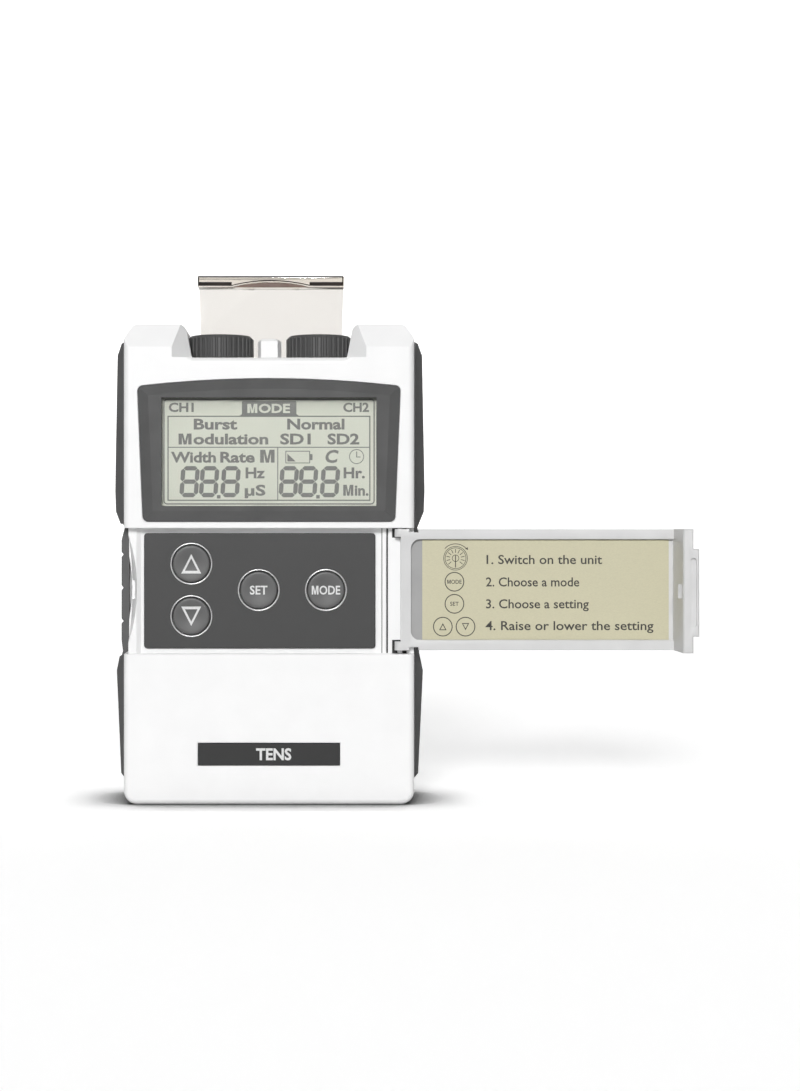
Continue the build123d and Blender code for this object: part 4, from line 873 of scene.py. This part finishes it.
# %% [markdown]
# The symbols are printed on the caps in a pale paint. They follow the dish: each point moves
# back by the depth of the dish at its distance from the middle of the cap.

# %% Painted symbols
SYMBOL_DEPTH = 0.05 * MM
SYMBOL_CAP = 1.85 * MM
WORD_HALF = {"set": 1.85 * MM, "mode": 3.0 * MM}


def triangle_loop(centre, half_base, height, up):
    """An isosceles triangle whose middle height is at the centre, pointing up or down."""
    tip = height / 2 if up else -height / 2
    corners = [(-half_base, -tip), (half_base, -tip), (0, tip)]
    return np.array(corners if up else corners[::-1]) + centre


def symbol(key):
    """The flat drawing of one key, in metres, with its face at the rim of the cap."""
    centre, front = key_centres[key]
    face = front - SYMBOL_DEPTH * 0.6
    if key in ("up", "down"):
        up = key == "up"
        shift = np.array([0, -0.28 if up else 0.28]) * MM
        outer = triangle_loop(centre, 2.1 * MM, 4.1 * MM, up)
        inner = triangle_loop(centre + shift * 0.6, 1.34 * MM, 2.62 * MM, up)
        return band(outer, inner, face, SYMBOL_DEPTH)
    x_range, base = (centre[0] - WORD_HALF[key], centre[0] + WORD_HALF[key]), centre[1] - SYMBOL_CAP / 2
    return word(key.upper(), x_range, base, SYMBOL_CAP, face, weight=0.02, depth=SYMBOL_DEPTH)


for key in KEYS:
    symbol_points, symbol_faces = symbol(key)
    from_middle = np.linalg.norm(symbol_points[:, [0, 2]] - key_centres[key][0], axis=1)
    symbol_points[:, 1] += dish_depth(from_middle)
    put(f"{key}_symbol", (symbol_points, symbol_faces), key_paint, f"{key}_key", smooth=False)

# %% [markdown]
# ## Rings round the keys
# A bright ring frames each key. It is a small tube with a half-round front, so that it catches
# a line of light all the way round.


# %% Half-round rings
def ring_profile(inner, outer, front, back):
    """A closed profile: straight back, and a half circle across the front between both radii."""
    middle, half = (inner + outer) / 2, (outer - inner) / 2
    angle = np.linspace(np.pi, 0, 11)
    nose = np.stack([middle + half * np.cos(angle), front + half * (1 - np.sin(angle))], axis=-1)
    return np.concatenate([[[inner, back]], nose, [[outer, back], [inner, back]]])


ring_low, ring_high = extent("button_rings")
RING_INNER, RING_OUTER = 4.08 * MM, 4.45 * MM
profile = ring_profile(RING_INNER, RING_OUTER, ring_low[1], ring_high[1])
rings = gather([lathe(profile, centre, count=96) for centre, _ in key_centres.values()])
ring_finish = finishes["silver_ring"]
ring_piece = put("key_rings", rings, ring_finish, "case", replaces=("button_rings",))
sharpen(ring_piece, 50)

# %% [markdown]
# ## Name plate
# The dark plate carries only the general name of this kind of unit, in pale narrow capitals.

# %% Word on the name plate
plate_low, plate_high = extent("name_plate")
PLATE_CAP = 2.5 * MM
PLATE_WORD_X = (-2.7 * MM, 4.7 * MM)
plate_middle = (plate_low[2] + plate_high[2]) / 2
plate_base, plate_front = plate_middle - PLATE_CAP / 2, plate_low[1] - 0.02 * MM
plate_word = word("TENS", PLATE_WORD_X, plate_base, PLATE_CAP, plate_front, weight=0.03, depth=0.06 * MM)
put("name_plate_word", plate_word, key_paint, "case", smooth=False)

# %% [markdown]
# ## The instruction label
# The label inside the cover lists four steps, each with a drawing of the control it means: the
# dial, the two round keys, and the pair of arrow keys. The drawing is measured in millimetres
# from the lower left corner of the card and rides on the cover.

# %% Where the label's drawing lies
card_low, card_high = extent("instruction_label")
card_front = card_low[1]
card_origin = card_low[[0, 2]]
CARD_LINE = 0.2


def on_card(loop):
    """A loop in millimetres from the card's lower left corner, as metres in x and z."""
    return card_origin + np.asarray(loop, float) * MM


def card_fill(loop):
    """A filled shape of printing ink on the card."""
    return prism(on_card(loop), card_front - INK_DEPTH / 2, INK_DEPTH)


def card_ring(centre, radius, line=CARD_LINE, sweep=(0, 2 * np.pi)):
    """A drawn circle, or with sweep an arc, as the strip between two radii."""
    if sweep[1] - sweep[0] >= 2 * np.pi:
        outer, inner = circle_loop(centre, radius), circle_loop(centre, radius - line)
        return band(on_card(outer), on_card(inner), card_front - INK_DEPTH / 2, INK_DEPTH)
    angle = np.linspace(*sweep, 20)
    ray = np.stack([np.cos(angle), np.sin(angle)], axis=-1)
    return card_fill(np.concatenate([centre + ray * radius, (centre + ray * (radius - line))[::-1]]))


def card_word(text, left, right, base, cap, weight=0.0):
    """A printed word on the card, its place in millimetres."""
    x_range = card_origin[0] + np.array([left, right]) * MM
    base_z, face = card_origin[1] + base * MM, card_front - INK_DEPTH / 2
    return word(text, x_range, base_z, cap * MM, face, weight, depth=INK_DEPTH)


STEPS = [
    ("1. Switch on the unit", 13.5, 37.8, 15.88, 1.90),
    ("2. Choose a mode", 13.4, 33.0, 11.17, 1.90),
    ("3. Choose a setting", 13.4, 35.0, 6.57, 1.90),
    ("4. Raise or lower the setting", 13.3, 48.6, 1.99, 1.90),
]
card_shapes = [card_word(*row, weight=0.012) for row in STEPS]
print("card origin, mm:", (card_origin / MM).round(2))

# %% [markdown]
# The dial's drawing is a pair of circles with short strokes between them, a pointer, and a
# curved arrow above that shows which way to turn it.

# %% Drawings beside the steps
KEY_DRAWING_R = 2.06
DIAL_DRAWING = np.array([6.99, 17.1])
key_places = {"mode": (6.76, 12.16), "set": (6.76, 7.52), "up": (4.32, 2.72), "down": (9.09, 2.72)}
card_shapes += [card_ring(np.array(place), KEY_DRAWING_R) for place in key_places.values()]
card_shapes.append(card_word("MODE", 5.25, 8.27, 11.72, 0.86, weight=0.01))
card_shapes.append(card_word("SET", 5.85, 7.67, 7.10, 0.84, weight=0.01))
for key in ("up", "down"):
    drawn_centre = np.array(key_places[key])
    outer = triangle_loop(drawn_centre, 0.78, 1.5, key == "up")
    inner = triangle_loop(drawn_centre + (0, -0.1 if key == "up" else 0.1), 0.5, 0.94, key == "up")
    card_shapes.append(band(on_card(outer), on_card(inner), card_front - INK_DEPTH / 2, INK_DEPTH))
card_shapes += [card_ring(DIAL_DRAWING, radius, line=0.12) for radius in (2.55, 2.25, 0.75)]
for turn in np.radians(np.arange(-40, 221, 26)):
    ray = np.array([np.cos(turn), np.sin(turn)])
    side = np.array([-ray[1], ray[0]]) * 0.07
    near, far = DIAL_DRAWING + ray * 1.15, DIAL_DRAWING + ray * 1.95
    card_shapes.append(card_fill([near - side, far - side, far + side, near + side]))
card_shapes.append(card_fill(np.array(bar((-0.09, 0.09), (-1.95, 0.6))) + DIAL_DRAWING))
card_shapes.append(card_ring(DIAL_DRAWING, 3.1, line=0.14, sweep=(np.radians(42), np.radians(138))))
arrow_tip = DIAL_DRAWING + (2.62, 1.72)
card_shapes.append(card_fill([arrow_tip, arrow_tip + (-0.05, 0.62), arrow_tip + (-0.58, 0.26)]))
put("label_printing", gather(card_shapes), print_ink, "keypad_cover", smooth=False)

# %% [markdown]
# Beside the card the bare floor of the cover lies in shadow and looks darker than its rim. A
# thin grey sheet of painted shade covers it and runs a little way under the card, with rounded
# corners like the recess.

# %% Painted shade beside the card
SHADE_SHEET_WIDE, SHADE_SHEET_UNDER, SHADE_SHEET_ROUND = 2.7 * MM, 4.0 * MM, 1.6 * MM
shade_sheet_x = (card_low[0] - SHADE_SHEET_WIDE, card_low[0] + SHADE_SHEET_UNDER)
shade_sheet_loop = rounded_loop(shade_sheet_x, (card_low[2], card_high[2]), SHADE_SHEET_ROUND)
# Painted shade: a grey sheet darkens the recess floor beside the card, where shadow falls.
painted_shade_finish = moulded("recess_painted_shade_finish", grey(0.33), grey(0.37), (0.40, 0.50), 0.22, 0.0022)
shade_sheet_shape = prism(shade_sheet_loop, card_high[1] - 0.06 * MM, 0.08 * MM)
put("recess_painted_shade", shade_sheet_shape, painted_shade_finish, "keypad_cover", smooth=False)

# %% [markdown]
# ## Numbers on the dials
# The dished top of each dial has a painted pointer line and the figures 1 to 8 round it. A
# figure is made upright first and then laid down and turned round the dial's axis.


# %% Figures and pointer on top of a dial
PAINT_RISE = 0.02 * MM


def lay_on_top(points, centre, turn, top):
    """Points drawn in x and z, turned by an angle round the dial and laid flat at height top.
    The drawn height becomes the way outwards and the drawn depth becomes the way down."""
    across, inwards, outwards = points[:, 0], points[:, 1], points[:, 2]
    x = centre[0] + across * np.cos(turn) + outwards * np.sin(turn)
    y = centre[1] + across * np.sin(turn) - outwards * np.cos(turn)
    return stand(x, y, top - inwards)


FIGURE_X = (-0.38 * MM, 0.38 * MM)
FIGURE_CAP = 1.25 * MM
FIGURE_INK = {"weight": 0.01, "depth": 2 * PAINT_RISE}
FIGURE_RADIUS = 4.6 * MM
DISH_SINK = 0.4 * MM
POINTER_SINK = 0.7 * MM
figure_base = FIGURE_RADIUS - FIGURE_CAP
FIRST_TURN, LAST_TURN = np.radians(35), np.radians(325)
for channel in (1, 2):
    dial_low, dial_high = extent(f"channel_{channel}_dial")
    dial_centre = (dial_low + dial_high)[:2] / 2
    floor_z = dial_high[2] - DISH_SINK
    shapes = []
    for number, turn in enumerate(np.linspace(FIRST_TURN, LAST_TURN, 8), start=1):
        points, faces = word(str(number), FIGURE_X, figure_base, FIGURE_CAP, -PAINT_RISE, **FIGURE_INK)
        shapes.append((lay_on_top(points * (-1, 1, 1), dial_centre, turn, floor_z), faces))
    put(f"dial_{channel}_figures", gather(shapes), key_paint, f"dial_{channel}", smooth=False)
    pointer = prism(np.array(bar((-0.24, 0.24), (2.5, 4.9))) * MM, -0.03 * MM, 0.05 * MM)
    pointer_points = lay_on_top(pointer[0], dial_centre, 0.0, dial_high[2] - POINTER_SINK + PAINT_RISE)
    put(f"dial_{channel}_pointer", (pointer_points, pointer[1]), key_paint, f"dial_{channel}", smooth=False)

# %% [markdown]
# ## The back
# The rating plate has a printed frame and a few general facts, and the battery door has a
# raised arrow that shows which way it opens. Both are drawn facing the front and then turned
# half a turn about an upright line, which keeps every face pointing outwards.


# %% Half a turn, and a frame inside a plate
def face_back(shape, x_middle, y_middle):
    """Half a turn round the upright line through (x_middle, y_middle)."""
    points, faces = shape
    return stand(2 * x_middle - points[:, 0], 2 * y_middle - points[:, 1], points[:, 2]), faces


def inset_loop(low, high, margin, radius):
    """A plate's outline in x and z, moved in by a margin and rounded at the corners."""
    x_range, z_range = [(low[axis] + margin, high[axis] - margin) for axis in (0, 2)]
    return rounded_loop(x_range, z_range, radius)


rating_low, rating_high = extent("rating_plate")
rating_x = (rating_low[0] + rating_high[0]) / 2
print("rating plate, mm:", ((rating_high - rating_low) / MM).round(1))

# %% Print on the rating plate
RATING_LINES = [  # text, width and capital height in mm
    ("TENS UNIT", 9.4, 1.5),
    ("2 CHANNELS", 9.4, 1.2),
    ("BATTERY 9 V", 9.4, 1.2),
    ("0 - 8", 4.2, 1.2),
]
FIRST_LINE, LINE_STEP = 6.0, 5.2  # mm below the plate's upper edge
FRAME_MARGIN, FRAME_LINE, FRAME_ROUND = 1.0 * MM, 0.15 * MM, 0.6 * MM
rating_shapes = []
for line_number, (text, wide, cap_height) in enumerate(RATING_LINES):
    base = rating_high[2] - (FIRST_LINE + LINE_STEP * line_number) * MM
    x_range = (rating_x - wide / 2 * MM, rating_x + wide / 2 * MM)
    rating_shapes.append(word(text, x_range, base, cap_height * MM, -INK_DEPTH / 2, depth=INK_DEPTH))
frame_edges = [
    inset_loop(rating_low, rating_high, FRAME_MARGIN + inwards, FRAME_ROUND - inwards)
    for inwards in (0, FRAME_LINE)
]
rating_shapes.append(band(*frame_edges, -INK_DEPTH / 2, INK_DEPTH))
rating_shapes = face_back(gather(rating_shapes), rating_x, rating_high[1] / 2)
put("rating_print", rating_shapes, print_ink, "case", smooth=False)

# %% Arrow on the battery door
door_back = extent("battery_door")[1][1]
ARROW_HEIGHT = 0.25 * MM
ARROW_MIDDLE = np.array([0.0, 19.0]) * MM
ARROW_HALF, ARROW_LONG = 3.2 * MM, 4.4 * MM
arrow_loop = triangle_loop(ARROW_MIDDLE, ARROW_HALF, ARROW_LONG, False)
arrow = face_back(prism(arrow_loop, -ARROW_HEIGHT, ARROW_HEIGHT * 1.4), 0.0, door_back / 2)
put("door_arrow", arrow, finishes["white_plastic"], "door", smooth=False)

# %% [markdown]
# ## Softened edges
# A moulding never has a knife edge. The covers, plates and clip come from CAD with square
# edges, so each gets a copy whose triangles are merged back into flat faces and whose corners
# are then rounded a little by a Bevel modifier. The copy stands in for the CAD node, which
# stays untouched underneath.


# %% Copies with rounded edges
def soften(node, body, radius, finish_name, limit=35):
    """A copy of a CAD node, merged and flattened, with edges sharper than limit degrees rounded."""
    mesh = nodes[node].data.copy()
    mesh.name = f"soft_{node}"
    work = bmesh.new()
    work.from_mesh(mesh)
    bmesh.ops.remove_doubles(work, verts=work.verts, dist=1e-6)
    bmesh.ops.dissolve_limit(work, angle_limit=np.radians(1.0), verts=work.verts, edges=work.edges)
    work.to_mesh(mesh)
    work.free()
    mesh.materials.clear()
    mesh.materials.append(finishes[finish_name])
    piece = add_object(f"soft_{node}", mesh)
    bevel = piece.modifiers.new("rounded_edges", "BEVEL")
    bevel.width = radius
    bevel.segments = 3
    bevel.limit_method = "ANGLE"
    bevel.angle_limit = np.radians(limit)
    bevel.harden_normals = True
    mesh.shade_smooth()
    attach(piece, body)
    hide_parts(node)
    print("softened", node, "faces", len(mesh.polygons))
    return piece


SOFTENED = [  # node, body, edge radius in mm, finish
    ("panel_cover", "keypad_cover", 0.14, "cover_plastic"),
    ("dial_cover", "dial_lid", 0.16, "smoky_clear"),
    ("battery_door", "door", 0.15, "white_plastic"),
    ("clip_lever", "clip_arm", 0.25, "black_plastic"),
    ("clip_bracket", "case", 0.20, "black_plastic"),
]
for node_name, body, radius, finish_name in SOFTENED:
    soften(node_name, body, radius * MM, finish_name)

# %% [markdown]
# ## The hinge rail
# Right of the keys a narrow rail carries the cover's hinge. The narrow gap down each side of
# it, where the rail is let into the front, and the two pockets that the hinge barrels turn in
# lie in shadow; thin black strips on their floors are painted shade. Their places are measured
# in millimetres from the frame's origin, which is the middle of the foot of the case.

# %% Painted shade in each gap beside the rail and in the pockets
recess_floor = extent("keypad_panel")[1][1]
RAIL_Z = (31.7, 58.0)
GAPS_X = [(23.70, 23.86), (24.72, 25.06)]
POCKET_X = (25.95, 28.95)
BARREL_POCKETS_Z = [(31.65, 34.45), (56.05, 58.05)]
POCKET_DEEPER = 0.2 * MM


def shade_strip(x_range, z_range, floor_y, rise):
    """A flat rectangle, measured in mm, whose face stands rise proud of a floor at floor_y."""
    return prism(np.array(bar(x_range, z_range)) * MM, floor_y - rise, 2 * rise)


# Painted shade: near-black strips darken each gap line and each pocket floor, where shadow falls.
gap_and_pocket_shade = [shade_strip(x_range, RAIL_Z, recess_floor, 0.02 * MM) for x_range in GAPS_X]
pocket_floor = recess_floor + POCKET_DEEPER
gap_and_pocket_shade += [shade_strip(POCKET_X, z_range, pocket_floor, 0.04 * MM) for z_range in BARREL_POCKETS_Z]
hinge_shade_shape = gather(gap_and_pocket_shade)
put("hinge_rail_painted_shade", hinge_shade_shape, finishes["chip_black"], "case", smooth=False)

# %% [markdown]
# ## Painted dark edges of the dial cover
# The edges of the clear lip show the dark surroundings, so they look like dark lines round a
# bright face. Here they are a painted reflection: slim half-buried near-black bars along the top,
# the bottom and the sides of the lip, with an arch over the thumb relief. The wall behind the
# relief is seen through the whole width of the smoked plate, so it gets a brown face of its own.


# %% Painted dark edge lines of the lip
lid_low, lid_high = extent("dial_cover")
LIP_HEIGHT, LIP_HALF = 2.2, 15.9  # mm
LOW_EDGE, SIDE_EDGE = 0.85, 0.25
RELIEF_HALF, RELIEF_RISE = 8.5, 1.05
lip_base, lip_top = lid_high[2] / MM - LIP_HEIGHT, lid_high[2] / MM
lip_front = lid_low[1]


def arch(rise, steps=24):
    """Points x and height over the relief: the lip's base plus rise times one minus the square
    of the distance from the middle, as a share of the relief's half width."""
    x = np.linspace(-RELIEF_HALF, RELIEF_HALF, steps)
    return np.stack([x, lip_base + rise * (1 - (x / RELIEF_HALF) ** 2)], axis=-1)


arch_under, ARCH_THICK = arch(RELIEF_RISE) + (0, 0.02), LOW_EDGE * 0.25
arch_line = np.concatenate([arch_under, (arch_under + (0, ARCH_THICK))[::-1]])
edge_loops = [arch_line, bar((-LIP_HALF, LIP_HALF), (lip_top - 0.30, lip_top - 0.04))]
for side in (-1, 1):
    low_bar = sorted((side * LIP_HALF, side * RELIEF_HALF))
    side_bar = sorted((side * LIP_HALF, side * (LIP_HALF - SIDE_EDGE)))
    edge_loops.append(bar(low_bar, (lip_base + 0.02, lip_base + LOW_EDGE)))
    edge_loops.append(bar(side_bar, (lip_base + 0.3, lip_top - 0.2)))
# Painted reflection: near-black bars stand for the dark surroundings seen in the lip's edges.
painted_edge_shades = (0.018, 0.015, 0.013), (0.04, 0.03, 0.025)
painted_dark_edge = moulded("lip_painted_dark_reflection", *painted_edge_shades, (0.08, 0.14), 0.5, 0.001)
edge_shapes = [prism(np.array(loop) * MM, lip_front - 0.03 * MM, 0.25 * MM) for loop in edge_loops]
put("lip_painted_dark_lines", gather(edge_shapes), painted_dark_edge, "dial_lid", smooth=False)

# %% Face of the thumb relief
RELIEF_DEPTH = 2.92 * MM
relief_shades = (0.22, 0.15, 0.125), (0.28, 0.20, 0.17)
relief_brown = moulded("smoked_relief_face", *relief_shades, (0.12, 0.2), 0.5, 0.001)
relief_face = prism(arch(RELIEF_RISE * 0.98) * MM, lip_front + RELIEF_DEPTH, 0.2 * MM)
put("thumb_relief_face", relief_face, relief_brown, "dial_lid", smooth=False)
